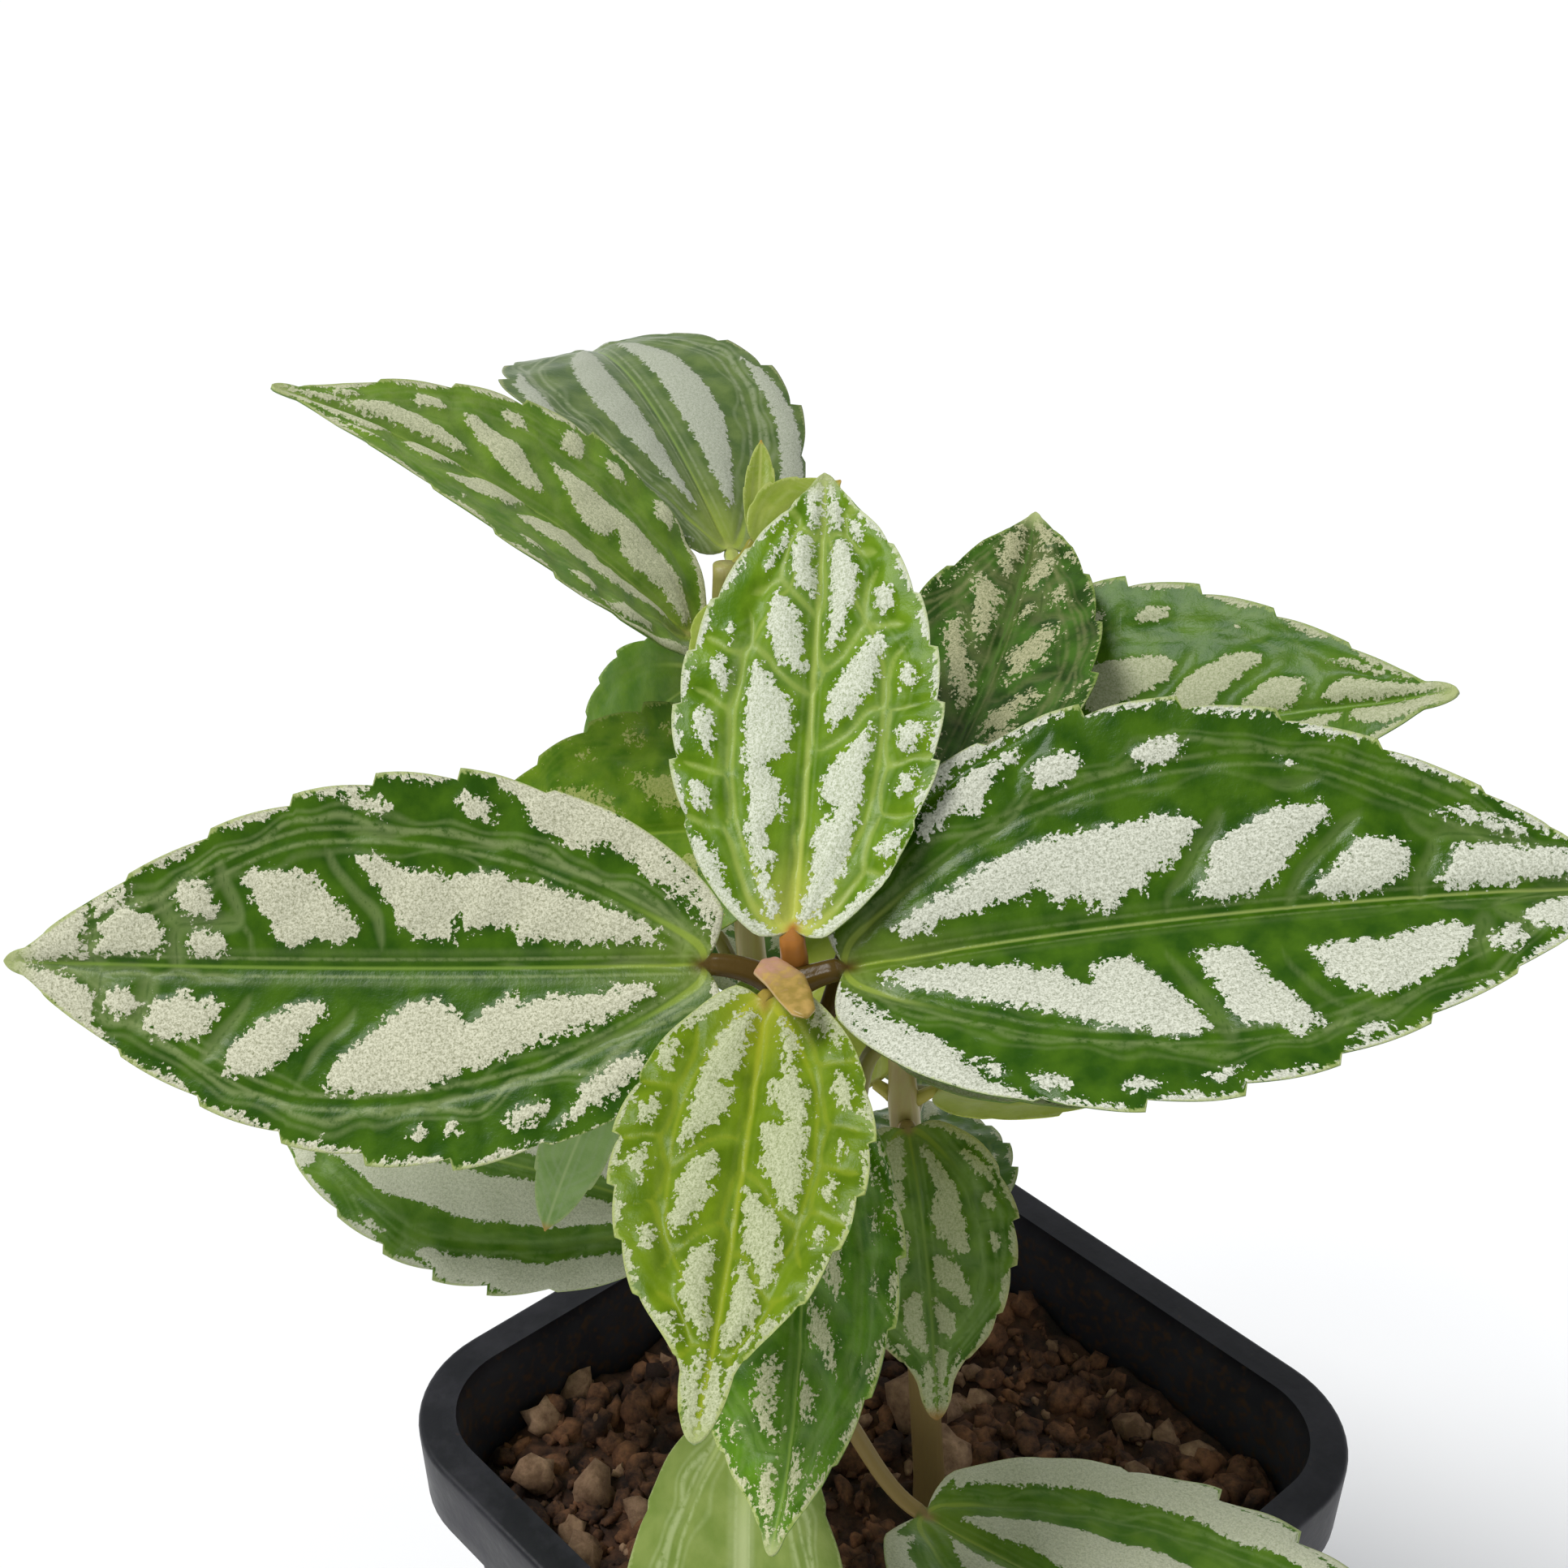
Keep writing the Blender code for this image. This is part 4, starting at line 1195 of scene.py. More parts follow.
@dataclass(frozen=True)
class BladePlane:
    """The flat layout of a blade, on which its marbling is drawn."""

    length: float
    width: float
    rise: float
    fall: float
    drip: float
    finger: float

    def half(self, along: np.ndarray) -> np.ndarray:
        """Work out the smooth outline, which ends in a blunt drip tip.

        Args:
            along: Shares of the length.

        Returns:
            The half width there, in millimetres.
        """
        along = np.clip(along, 1e-6, 1.0)
        peak = self.rise / (self.rise + self.fall)
        top = peak ** self.rise * (1.0 - peak) ** self.fall
        wide = along ** self.rise * (1.0 - along) ** self.fall / top * self.width / 2.0
        neck = smooth_step(1.0 - 1.5 * self.finger, 1.0 - 0.7 * self.finger, along)
        wide = wide * (1.0 - 1.6 * self.finger * neck)
        inside = np.clip((along - 1.0 + self.finger) / self.finger, -1.0, 1.0)
        tip = self.drip * self.width * np.sqrt(1.0 - inside ** 2)
        return np.maximum(wide, tip)

    def flat(self, along: np.ndarray, out: np.ndarray) -> np.ndarray:
        """Return the flat places, in millimetres, of shares along and out."""
        return np.stack((along * self.length, out * self.half(along)), axis=-1)

    def outline(self, ring: np.ndarray) -> np.ndarray:
        """Lay a patch's ring on the flat blade, with three steps a side.

        Args:
            ring: Corners as shares of the length and of the half width.

        Returns:
            The laid ring in millimetres.
        """
        steps = []
        for share in (0.0, 1.0 / 3.0, 2.0 / 3.0):
            steps.append(ring * (1.0 - share) + np.roll(ring, -1, axis=0) * share)
        dense = np.stack(steps, axis=1).reshape(-1, 2)
        return self.flat(dense[:, 0], dense[:, 1])


@dataclass(frozen=True)
class Leaf:
    """One leaf: its stem, how it lies, its marbling and its skin.

    Its stalk leaves the stem at node_z and meets the blade at base. azimuth,
    pitch and roll turn the blade there, droop, sweep and twist are how far each
    has changed at the tip, and fold lifts both halves. rise and fall shape the
    outline, lobe and drip its two ends, and finger is the share of the length
    that the narrow tip takes. girth thickens the stalk, puff lifts the silver,
    spread parts the great veins and trim edges the teeth with silver.
    """

    name: str
    stem: StemShape
    node_z: float
    base: Point
    azimuth: float
    pitch: float
    roll: float
    length: float
    width: float
    droop: float
    sweep: float = 0.0
    twist: float = 0.0
    fold: float = 8.0
    rise: float = 0.58
    fall: float = 1.0
    lobe: float = LOBE
    drip: float = 0.04
    finger: float = 0.05
    girth: float = 1.0
    growth: Growth = Growth.SIDE
    marbling: Marbling = Marbling(Half.BARE, Half.BARE)
    finish: LeafFinish = YOUNG
    puff: float = 0.35
    spread: float = 0.6
    trim: float = 0.9

    def plane(self) -> BladePlane:
        """Return the blade's flat layout."""
        return BladePlane(
            self.length, self.width, self.rise, self.fall, self.drip, self.finger
        )

    def rows(self) -> np.ndarray:
        """Return the shares of the length at which the blade has a ring.

        Returns:
            Rising shares, with a close pair at each tooth's step.
        """
        spacing = POINT_SPACING[self.growth] / self.length
        count = round(TEETH_START / spacing * 0.9) + 4
        rows = list(TEETH_START * np.linspace(0.0, 1.0, count) ** 1.4)
        rows[0] = FIRST_ROW
        rows.pop()
        count = TEETH[self.growth]
        pitch = (TEETH_END - TEETH_START) / count
        steps = max(6, round(pitch / spacing))
        for index in range(count):
            for step in range(steps):
                share = (1.0 - 2.0 * TOOTH_STEP) * step / (steps - 1)
                rows.append(TEETH_START + (index + TOOTH_STEP + share) * pitch)
        rows.extend(np.linspace(TEETH_END + TOOTH_STEP * pitch, 1.0, steps))
        return np.array(rows)

    def columns(self) -> np.ndarray:
        """Return the shares of the half width at which the blade has a column.

        Returns:
            Signed shares from edge to edge, closer at the edges.
        """
        count = round(self.width / 2.0 / POINT_SPACING[self.growth])
        side = np.concatenate((np.linspace(0.0, 0.92, count), EDGE_COLUMNS))
        return np.concatenate((-side[:0:-1], side))

    def tooth(self, along: np.ndarray) -> tuple[np.ndarray, np.ndarray]:
        """Find the tooth that each row belongs to.

        Args:
            along: Shares of the length.

        Returns:
            Each share's place within its tooth, and one where there is a tooth.
        """
        share = (along - TEETH_START) / (TEETH_END - TEETH_START)
        toothed = ((share > 0.0) & (share < 1.0)).astype(float)
        return (share * TEETH[self.growth]) % 1.0, toothed

    def midrib(self) -> tuple[np.ndarray, ...]:
        """Walk the midrib.

        Returns:
            Shares of the length, points, and the directions ahead, to the
            left and up at each.
        """
        share = np.linspace(0.0, 1.0, MIDRIB_STEPS)
        pitch = np.radians(self.pitch - self.droop * share)
        turn = np.radians(self.azimuth + self.sweep * share)
        level = np.cos(pitch)
        ahead = np.c_[level * np.cos(turn), level * np.sin(turn), np.sin(pitch)]
        steps = (ahead[1:] + ahead[:-1]) / 2.0 * self.length / (MIDRIB_STEPS - 1)
        points = np.zeros((MIDRIB_STEPS, 3))
        points[0] = self.base
        points[1:] = points[0] + np.cumsum(steps, axis=0)
        left = np.c_[-np.sin(turn), np.cos(turn), np.zeros(MIDRIB_STEPS)]
        upright = np.cross(ahead, left)
        roll = np.radians(self.roll + self.twist * share)[:, None]
        side = left * np.cos(roll) + upright * np.sin(roll)
        normal = upright * np.cos(roll) - left * np.sin(roll)
        return share, points, ahead, side, normal

    def relief(self, flat: np.ndarray, along: np.ndarray, depth: np.ndarray,
               between: np.ndarray) -> np.ndarray:
        """Return how far the upper face stands up, in millimetres.

        Args:
            flat: Flat places of the points.
            along: Shares of the length.
            depth: Millimetres inside the silver.
            between: How much nearer the first patch is than the second.

        Returns:
            The height over the blade's middle surface.
        """
        inside = np.maximum(depth + PUFF_START, 0.0)
        puff = PUFF_GAIN * self.puff * (1.0 - np.exp(-inside / PUFF_REACH))
        across = np.abs(flat[:, 1])
        lateral = across - self.lateral(along)
        sunk = np.zeros(len(across))
        for value, (deep, wide) in (
            (across, MIDRIB_GROOVE), (lateral, LATERAL_GROOVE), (between, SMALL_GROOVE),
        ):
            sunk += self.puff * deep * bell(value, wide)
        cockle = COCKLE * np.sin(flat[:, 0] * 0.9 + 0.5 * across + self.length)
        room = np.minimum(1.0, self.plane().half(along) / FULL_RELIEF)
        return (puff - sunk + cockle * smooth_step(1.0, 5.0, across)) * room

    def back(self, along: np.ndarray, out: np.ndarray) -> np.ndarray:
        """Work out how far the blade's two round lobes reach back.

        Args:
            along: Shares of the length.
            out: Signed shares of the half width.

        Returns:
            The reach in millimetres.
        """
        start = np.sqrt(np.minimum(along / 0.02, 1.0))
        return self.lobe * np.abs(out) ** 1.5 * (1.0 - along) ** 6 * self.length * start

    def lateral(self, along: np.ndarray) -> np.ndarray:
        """Work out how far from the midrib the great vein of each side runs.

        Args:
            along: Shares of the length.

        Returns:
            The distance in millimetres.
        """
        share = VEIN_BASE + VEIN_GAIN * smooth_step(0.0, 0.25, along)
        share = share + self.spread * np.maximum(along - VEIN_SPREADS, 0.0)
        return np.minimum(share, VEIN_LIMIT) * self.plane().half(along)

    def blade(self) -> tuple[np.ndarray, dict[str, np.ndarray]]:
        """Work out the rings of the blade and what the skin reads from them.

        Returns:
            The ring points, and the layers plane, marks, veins and parts.
        """
        rows = self.rows()
        columns = self.columns()
        along, out = np.meshgrid(rows, columns, indexing="ij")
        shape = along.shape
        share, points, ahead, side, normal = self.midrib()
        frames = []
        for table in (points, ahead, side, normal):
            axes = [np.interp(rows, share, table[:, axis]) for axis in range(3)]
            frames.append(np.stack(axes, axis=-1)[:, None, :])
        centre, ahead, side, normal = frames
        phase, toothed = self.tooth(along)
        arc = 1.0 - 2.0 * (1.0 - phase) ** TOOTH_ROUND
        near_edge = np.abs(out) ** TOOTH_POWER
        bite = TOOTH_DEPTH[self.growth] * arc * toothed * near_edge
        half = np.maximum(self.plane().half(along), LEAST_HALF)
        offset = out * half * (1.0 + bite)
        fold = math.radians(self.fold)
        back = self.back(along, out)
        window = smooth_step(0.12, 0.22, along) * (1.0 - smooth_step(0.93, 0.99, along))
        push = TOOTH_LEAN * TOOTH_DEPTH[self.growth] * half * window * near_edge
        spots = centre + ahead * (push - back)[..., None]
        spots = spots + side * (offset * math.cos(fold))[..., None]
        spots = spots + normal * (np.abs(offset) * math.sin(fold))[..., None]
        flat = self.plane().flat(along.ravel(), out.ravel())
        first, second = self.marbling.distance(along.ravel(), out.ravel(), self.plane())
        far_off = smooth_step(-1.8, -FAR, second)
        between = first - second + FAR * far_off
        height = self.relief(flat, along.ravel(), first, between).reshape(shape)
        thin = LEAF_THICK / 2.0 * (1.0 - EDGE_THINNING * np.abs(out) ** 10)
        upper = spots + normal * (thin + height)[..., None]
        across = np.abs(flat[:, 1])
        lateral = across - self.lateral(along.ravel())
        rib = -0.4 * height.ravel()
        for value, (deep, wide) in ((across, MIDRIB_KEEL), (lateral, LATERAL_KEEL)):
            rib += deep * bell(value, wide)
        rib = rib.reshape(shape) * np.minimum(1.0, half / FULL_RELIEF)
        lower = spots - normal * (thin + rib)[..., None]
        rings = np.concatenate((upper, lower[:, ::-1]), axis=1)
        layers = self.marks(along, out, flat, first, between)
        return rings, layers

    def marks(self, along: np.ndarray, out: np.ndarray, flat: np.ndarray,
              depth: np.ndarray, between: np.ndarray) -> dict[str, np.ndarray]:
        """Gather what the skin's finish reads.

        Args:
            along: Shares of the length, by row and column.
            out: Signed shares of the half width, by row and column.
            flat: Flat places.
            depth: Millimetres inside the silver.
            between: How much nearer the first patch is than the second.

        Returns:
            Four layers: plane holds the flat place and the underside, marks
            the silver and the margin, veins the distances from midrib, great
            vein and small veins, parts the stalk, the tip and the base.
        """
        shape = along.shape
        across = np.abs(flat[:, 1]).reshape(shape)
        lateral = across - self.lateral(along)
        lateral = lateral + 3.0 * smooth_step(*VEIN_FADES, along)
        phase, toothed = self.tooth(along)
        edge = (1.0 - np.abs(out)) * self.plane().half(along)
        margin = MARGIN + MARGIN_GAIN * toothed * phase ** 2 - edge
        silver = depth.reshape(shape)
        if self.marbling.left is not Half.BARE:
            trim = self.trim * (0.25 + toothed * np.sin(np.pi * phase ** 0.8))
            lobes = 1.0 - smooth_step(*LOBES_END, along)
            lobes = 1.7 * self.trim * lobes * smooth_step(0.9, 2.4, across)
            silver = np.maximum(silver, np.maximum(trim, lobes) - edge - 0.35)
        tip = smooth_step(*TIP_STARTS, along)
        stalk = (1.0 - smooth_step(*STALK_ENDS, along)) * bell(across, STALK_HALF)
        base = (1.0 - smooth_step(*BASE_ENDS, along)) * bell(across, BASE_HALF)
        zero = np.zeros(shape)
        one = np.ones(shape)
        x = flat[:, 0].reshape(shape) - self.back(along, out)
        y = flat[:, 1].reshape(shape)
        upper = {
            "plane": (x, y, zero),
            "marks": (silver, margin, zero),
            "veins": (across, lateral, between.reshape(shape)),
            "parts": (stalk, tip, base),
        }
        lower = {
            "plane": (x, y, one),
            "marks": (-FAR * one, -FAR * one, zero),
            "veins": (across, lateral, FAR * one),
            "parts": (stalk, tip, base),
        }
        layers = {}
        for key, value in upper.items():
            face = np.stack(value, axis=-1)
            back = np.stack(lower[key], axis=-1)[:, ::-1]
            layers[key] = np.concatenate((face, back), axis=1)
        return layers

    def stalk(self, sides: int) -> np.ndarray:
        """Work out the rings of the stalk from its stem to the blade.

        Args:
            sides: How many points a ring has.

        Returns:
            The ring points.
        """
        axis = self.stem.centre(self.node_z)
        base = np.array(self.base, dtype=float)
        outward = base - axis
        outward[2] = 0.0
        outward = outward / np.linalg.norm(outward)
        root = axis + outward * (self.stem.radius(self.node_z) - STALK_SUNK)
        _, _, ahead, side, _ = self.midrib()
        reach = float(np.linalg.norm(base - root))
        start = outward * 0.9 + np.array((0.0, 0.0, 0.45))
        start = start / np.linalg.norm(start)
        first = root + start * reach * STALK_PULL
        second = base - ahead[0] * reach * STALK_PULL
        steps = max(6, round(reach / STALK_STEP))
        girth = PETIOLE_RADIUS * self.girth
        if self.growth is Growth.YOUNG:
            girth *= YOUNG_GIRTH
        rings = []
        for step in range(steps):
            t = step / steps
            s = 1.0 - t
            centre = s ** 3 * root + 3 * s * s * t * first
            centre = centre + 3 * s * t * t * second + t ** 3 * base
            tangent = s * s * (first - root) + 2 * s * t * (second - first)
            tangent = tangent + t * t * (base - second)
            tangent = tangent / np.linalg.norm(tangent)
            across = side[0] - tangent * float(side[0] @ tangent)
            across = across / np.linalg.norm(across)
            up = np.cross(tangent, across)
            swell = STALK_SWELL * math.exp(-t * reach / SWELL_REACH)
            radius = girth * (1.0 + STALK_TAPER - STALK_TAPER * t + swell)
            rings.append(self.stalk_ring(centre, across, up, radius, sides))
        return np.array(rings)

    def stalk_ring(self, centre: np.ndarray, across: np.ndarray, up: np.ndarray,
                   radius: float, sides: int) -> np.ndarray:
        """Return one ring of the stalk, with a shallow channel on top.

        Args:
            centre: The ring's middle.
            across: Direction to the blade's left.
            up: Direction to the blade's upper face.
            radius: The stalk's radius in millimetres.
            sides: How many points the ring has.

        Returns:
            The points, in step with the blade's rings.
        """
        half = sides // 2
        share = np.concatenate((np.linspace(0, 1, half), np.linspace(0, 1, half)))
        lower = np.repeat((0.0, 180.0), half)
        angle = np.radians(174.0 - 168.0 * share - lower)
        channel = 1.0 - 0.16 * bell(angle - math.pi / 2.0, 0.5)
        sideways = (radius * np.cos(angle))[:, None] * across
        return centre + sideways + (radius * channel * np.sin(angle))[:, None] * up

    def build(self, material: Material) -> None:
        """Model the leaf, dress it and tie it to its node.

        Args:
            material: The finished leaf skin.
        """
        rings, layers = self.blade()
        stalk = self.stalk(rings.shape[1])
        count, sides = stalk.shape[:2]
        fill = {
            "plane": (0.0, 0.0, 0.0),
            "marks": (-FAR, -FAR, 0.0),
            "veins": (FAR, FAR, FAR),
            "parts": (1.0, 0.0, 0.0),
        }
        for key, value in fill.items():
            block = np.broadcast_to(np.array(value), (count, sides, 3)).copy()
            if key == "plane":
                block[..., :2] = stalk[..., :2]
            layers[key] = np.concatenate((block, layers[key]), axis=0)
        points = np.concatenate((stalk, rings), axis=0)
        piece = loft(self.name + "_dressed", points, layers)
        piece.data.materials.append(material)
        settle(piece, "marbled_leaf", self.name)


LEAVES = (
    Leaf("left_leaf", MAIN, node_z=182.2, base=(3.7, -29.7, 183.6),
         azimuth=224, pitch=-4.6, roll=-49, length=67.7, width=37.4,
         droop=-6.5, sweep=2.8, twist=-9, lobe=0.058, girth=1.25, growth=Growth.GROWN,
         marbling=Marbling(Half.LONG_BROAD, Half.LONG_SPLIT), finish=MATURE),
    Leaf("right_leaf", MAIN, node_z=182.2, base=(13.8, -20.4, 184.1),
         azimuth=49, pitch=11.5, roll=28, length=73, width=43,
         droop=6, sweep=-6, fold=16, girth=1.25, growth=Growth.GROWN,
         marbling=Marbling(Half.LONG_LOW, Half.LONG_ROUND), finish=GLOSSY),
    Leaf("top_leaf", MAIN, node_z=182.0, base=(9.0, -23.0, 187.3),
         azimuth=131, pitch=40, roll=-7, length=47.6, width=26.6,
         droop=-3, sweep=3, twist=-3, rise=0.6, fall=0.85, growth=Growth.GROWN,
         drip=0.075, finger=0.1, girth=1.4,
         marbling=Marbling(Half.FRESH_STEPPED, Half.FRESH_SLANTED), finish=FRESH,
         puff=0.6, spread=0.05),
    Leaf("front_leaf", MAIN, node_z=181.0, base=(11.6, -28.9, 182.8),
         azimuth=-48.5, pitch=-26, roll=6, length=42.2, width=23.6,
         droop=-7, sweep=-3.5, rise=0.66, fall=1.2, lobe=0.07, growth=Growth.GROWN,
         drip=0.105, finger=0.21,
         marbling=Marbling(Half.FRONT_STEPPED, Half.FRONT_ROUND), finish=LIME,
         puff=0.45, spread=0.05),
    Leaf("inner_front_leaf", MAIN, node_z=172.0, base=(14.6, -27.0, 174.0),
         azimuth=-37, pitch=-52, roll=30, length=42.5, width=25,
         droop=-14, sweep=-20, fold=14, fall=0.95, drip=0.07, finger=0.11,
         marbling=Marbling(Half.LONG_LOW, Half.FRONT_ROUND, shrink=0.5), finish=BROKEN_PAINTED_FILL),
    Leaf("back_leaf", MAIN, node_z=173.0, base=(7.2, -9.4, 187.2),
         azimuth=108, pitch=14, roll=-7, length=55, width=26.5,
         droop=-9, sweep=17, twist=3, fold=15, fall=0.85, drip=0.055, finger=0.08,
         marbling=Marbling(Half.FRONT_STEPPED, Half.LONG_SPLIT, wander=0.7, shrink=0.5),
         finish=PATCHY, trim=0.3),
    Leaf("lower_left_leaf", MAIN, node_z=161.0, base=(-4.6, -26.2, 172.6),
         azimuth=222.5, pitch=7.4, roll=-50, length=67.5, width=32,
         droop=15.5, sweep=-3, twist=-4, rise=0.5, fall=0.75,
         marbling=Marbling(Half.LONG_BROAD, Half.LONG_ROUND, wander=0.5), finish=SHADED),
    Leaf("lower_right_leaf", MAIN, node_z=161.0, base=(15.4, -14.4, 174.0),
         azimuth=50, pitch=10, roll=24, length=46, width=22,
         droop=8, marbling=Marbling(Half.FRESH_SLANTED, Half.LONG_SPLIT), finish=SHADED),
    Leaf("low_right_leaf", MAIN, node_z=129.0, base=(25.0, -18.0, 117.4),
         azimuth=13, pitch=0, roll=-12, length=65, width=43,
         droop=2, twist=10, fold=6, rise=0.52, fall=0.8,
         marbling=Marbling(Half.STRIPED, Half.STRIPED, wander=0.4), finish=LOWER_PAINTED_FILL),
    Leaf("low_front_leaf", MAIN, node_z=132.0, base=(13.2, -33.0, 134.0),
         azimuth=-45, pitch=-42, roll=38, length=43, width=26,
         droop=0, sweep=7, twist=-11, fall=0.95, finish=PALE),
    Leaf("upper_left_leaf", REAR, node_z=190.0, base=(-29.0, -3.8, 198.0),
         azimuth=226, pitch=49, roll=-6, length=51, width=30.4,
         droop=27, sweep=13, twist=-8, fold=13, fall=1.2,
         marbling=Marbling(Half.LONG_LOW, Half.FRESH_SLANTED), finish=SUNLIT),
    Leaf("upper_left_pair", REAR, node_z=193.0, base=(-26.0, 6.0, 195.0),
         azimuth=44, pitch=2, roll=10, length=20, width=11,
         droop=16, fold=10, growth=Growth.YOUNG),
    Leaf("arched_back_leaf", REAR, node_z=200.0, base=(-38.4, 10.2, 201.0),
         azimuth=168, pitch=40, roll=22, length=55.4, width=35.8,
         droop=66, sweep=-16, twist=-34, fold=5, trim=0.2,
         marbling=Marbling(Half.STRIPED, Half.STRIPED, shrink=0.7), finish=GREYED),
    Leaf("arched_back_pair", REAR, node_z=200.0, base=(-26.2, 0.0, 201.4),
         azimuth=-30, pitch=-20, roll=0, length=22, width=12,
         droop=20, fold=10, growth=Growth.YOUNG),
    Leaf("tip_leaf_folded", REAR, node_z=203.0, base=(-30.0, 6.8, 206.2),
         azimuth=129, pitch=42, roll=12, length=11.3, width=3.8,
         droop=-4, sweep=8, fold=24, rise=0.6, fall=0.8, growth=Growth.YOUNG),
    Leaf("tip_leaf_open", REAR, node_z=203.0, base=(-26.1, 4.0, 207.2),
         azimuth=88, pitch=20, roll=34, length=12.4, width=9.2,
         droop=0, fold=10, growth=Growth.YOUNG),
    Leaf("plain_left_leaf", REAR, node_z=183.0, base=(-35.0, 3.5, 188.0),
         azimuth=197, pitch=-38, roll=-60, length=31, width=18,
         droop=28, sweep=-2, lobe=0.055, finish=PLAIN),
    Leaf("rear_low_left_leaf", REAR, node_z=151.0, base=(-32.0, 0.4, 156.0),
         azimuth=212, pitch=-4, roll=-20, length=42, width=23,
         droop=14, marbling=Marbling(Half.FRONT_STEPPED, Half.LONG_SPLIT), finish=SHADED),
    Leaf("rear_low_back_leaf", REAR, node_z=140.0, base=(-30.0, 9.5, 143.0),
         azimuth=150, pitch=6, roll=0, length=44, width=24,
         droop=26, marbling=Marbling(Half.LONG_ROUND, Half.FRONT_STEPPED), finish=SHADED),
    Leaf("right_back_leaf", CENTRE, node_z=178.0, base=(-9.4, 15.4, 186.2),
         azimuth=35.5, pitch=9.6, roll=37, length=55.7, width=33.8,
         droop=-11.5, sweep=-13, twist=-5, rise=0.6, fall=1.2, drip=0.05, finger=0.07,
         marbling=Marbling(Half.LONG_LOW, Half.FRONT_ROUND, wander=0.3), finish=SHADED),
    Leaf("olive_leaf", CENTRE, node_z=178.0, base=(-7.5, -9.0, 185.0),
         azimuth=203, pitch=-12, roll=-46, length=47, width=28,
         droop=20, sweep=2, rise=0.5,
         marbling=Marbling(Half.FRONT_STEPPED, Half.FRESH_SLANTED, shrink=0.6), finish=OLIVE,
         trim=0.0),
    Leaf("centre_tip_back", CENTRE, node_z=179.4, base=(-8.8, 4.2, 182.2),
         azimuth=182, pitch=6, roll=0, length=14, width=7.5,
         droop=16, fold=12, growth=Growth.YOUNG),
    Leaf("centre_tip_front", CENTRE, node_z=174.0, base=(-0.2, 0.8, 175.6),
         azimuth=-88, pitch=-20, roll=0, length=20, width=12,
         droop=10, growth=Growth.YOUNG, finish=SHOOT_PAINTED_GLOW),
    Leaf("shoot_right_leaf", CENTRE, node_z=150.0, base=(4.4, 3.6, 151.6),
         azimuth=37, pitch=17, roll=0, length=31, width=18,
         droop=0, growth=Growth.YOUNG, finish=SHOOT_PAINTED_GLOW),
    Leaf("shoot_left_leaf", CENTRE, node_z=150.0, base=(-2.0, -0.5, 151.0),
         azimuth=165, pitch=-6, roll=-18, length=21, width=14,
         droop=0, growth=Growth.YOUNG, finish=SHOOT_PAINTED_GLOW),
    Leaf("hanging_leaf", CENTRE, node_z=147.0, base=(4.4, -1.4, 148.4),
         azimuth=-34, pitch=-19, roll=6, length=31.5, width=20,
         droop=42, sweep=-5, twist=-7, fold=10, fall=1.1, drip=0.1, finger=0.2,
         marbling=Marbling(Half.LONG_LOW, Half.FRONT_ROUND), finish=HANGING_PAINTED_FILL),
    Leaf("hanging_pair", CENTRE, node_z=146.0, base=(-1.5, 6.5, 147.0),
         azimuth=132, pitch=-8, roll=0, length=34, width=19,
         droop=22, fold=10,
         marbling=Marbling(Half.FRONT_ROUND, Half.FRESH_STEPPED), finish=SHADED),
    Leaf("low_back_leaf", CENTRE, node_z=116.0, base=(-1.5, 9.0, 120.0),
         azimuth=136, pitch=4, roll=0, length=40, width=23,
         droop=28, marbling=Marbling(Half.LONG_SPLIT, Half.LONG_LOW), finish=SHADED),
    Leaf("low_left_leaf", SIDE, node_z=132.0, base=(-14.0, -20.0, 135.5),
         azimuth=212, pitch=12, roll=-46, length=49, width=29,
         droop=18, sweep=3, twist=-2, rise=0.55, fall=0.78,
         marbling=Marbling(Half.STRIPED, Half.STRIPED, wander=0.4), finish=LOWER_PAINTED_FILL),
    Leaf("narrow_tip_leaf", SIDE, node_z=156.0, base=(-17.0, -24.4, 158.8),
         azimuth=250, pitch=-60, roll=-60, length=24, width=8,
         droop=12, fold=5, rise=0.6, fall=0.8, growth=Growth.YOUNG, finish=DIM),
    Leaf("side_tip_pair", SIDE, node_z=156.0, base=(-12.5, -15.8, 160.0),
         azimuth=66, pitch=20, roll=0, length=18, width=9,
         droop=10, fold=10, growth=Growth.YOUNG),
)


# Stems and bud

@dataclass(frozen=True)
class Stem:
    """One jointed stem, thicker at the nodes where its leaves part."""

    shape: StemShape
    joints: tuple[float, ...]
    sides: int = 24
    step: float = 1.2
    swell: float = 0.12
    swell_reach: float = 2.0
    squareness: float = 0.03

    def build(self, material: Material) -> None:
        """Model the stem, dress it and tie it to its node.

        Args:
            material: The finished stem skin.
        """
        foot = self.shape.centres[0][2]
        top = self.shape.centres[-1][2]
        heights = np.linspace(foot, top, round((top - foot) / self.step))
        angle = np.linspace(0.0, 2.0 * math.pi, self.sides, endpoint=False)
        rings = []
        for height in heights:
            centre = self.shape.centre(height)
            swell = 0.0
            for joint in self.joints:
                swell += self.swell * math.exp(-((height - joint) / self.swell_reach) ** 2)
            radius = self.shape.radius(height) * (1.0 - self.squareness + swell)
            lobed = radius * (1.0 + self.squareness * np.cos(4.0 * angle))
            ring = np.empty((self.sides, 3))
            ring[:, 0] = centre[0] + lobed * np.cos(angle)
            ring[:, 1] = centre[1] + lobed * np.sin(angle)
            ring[:, 2] = height
            rings.append(ring)
        piece = loft(self.shape.name + "_dressed", np.array(rings))
        piece.data.materials.append(material)
        settle(piece, "stem_skin", self.shape.name)


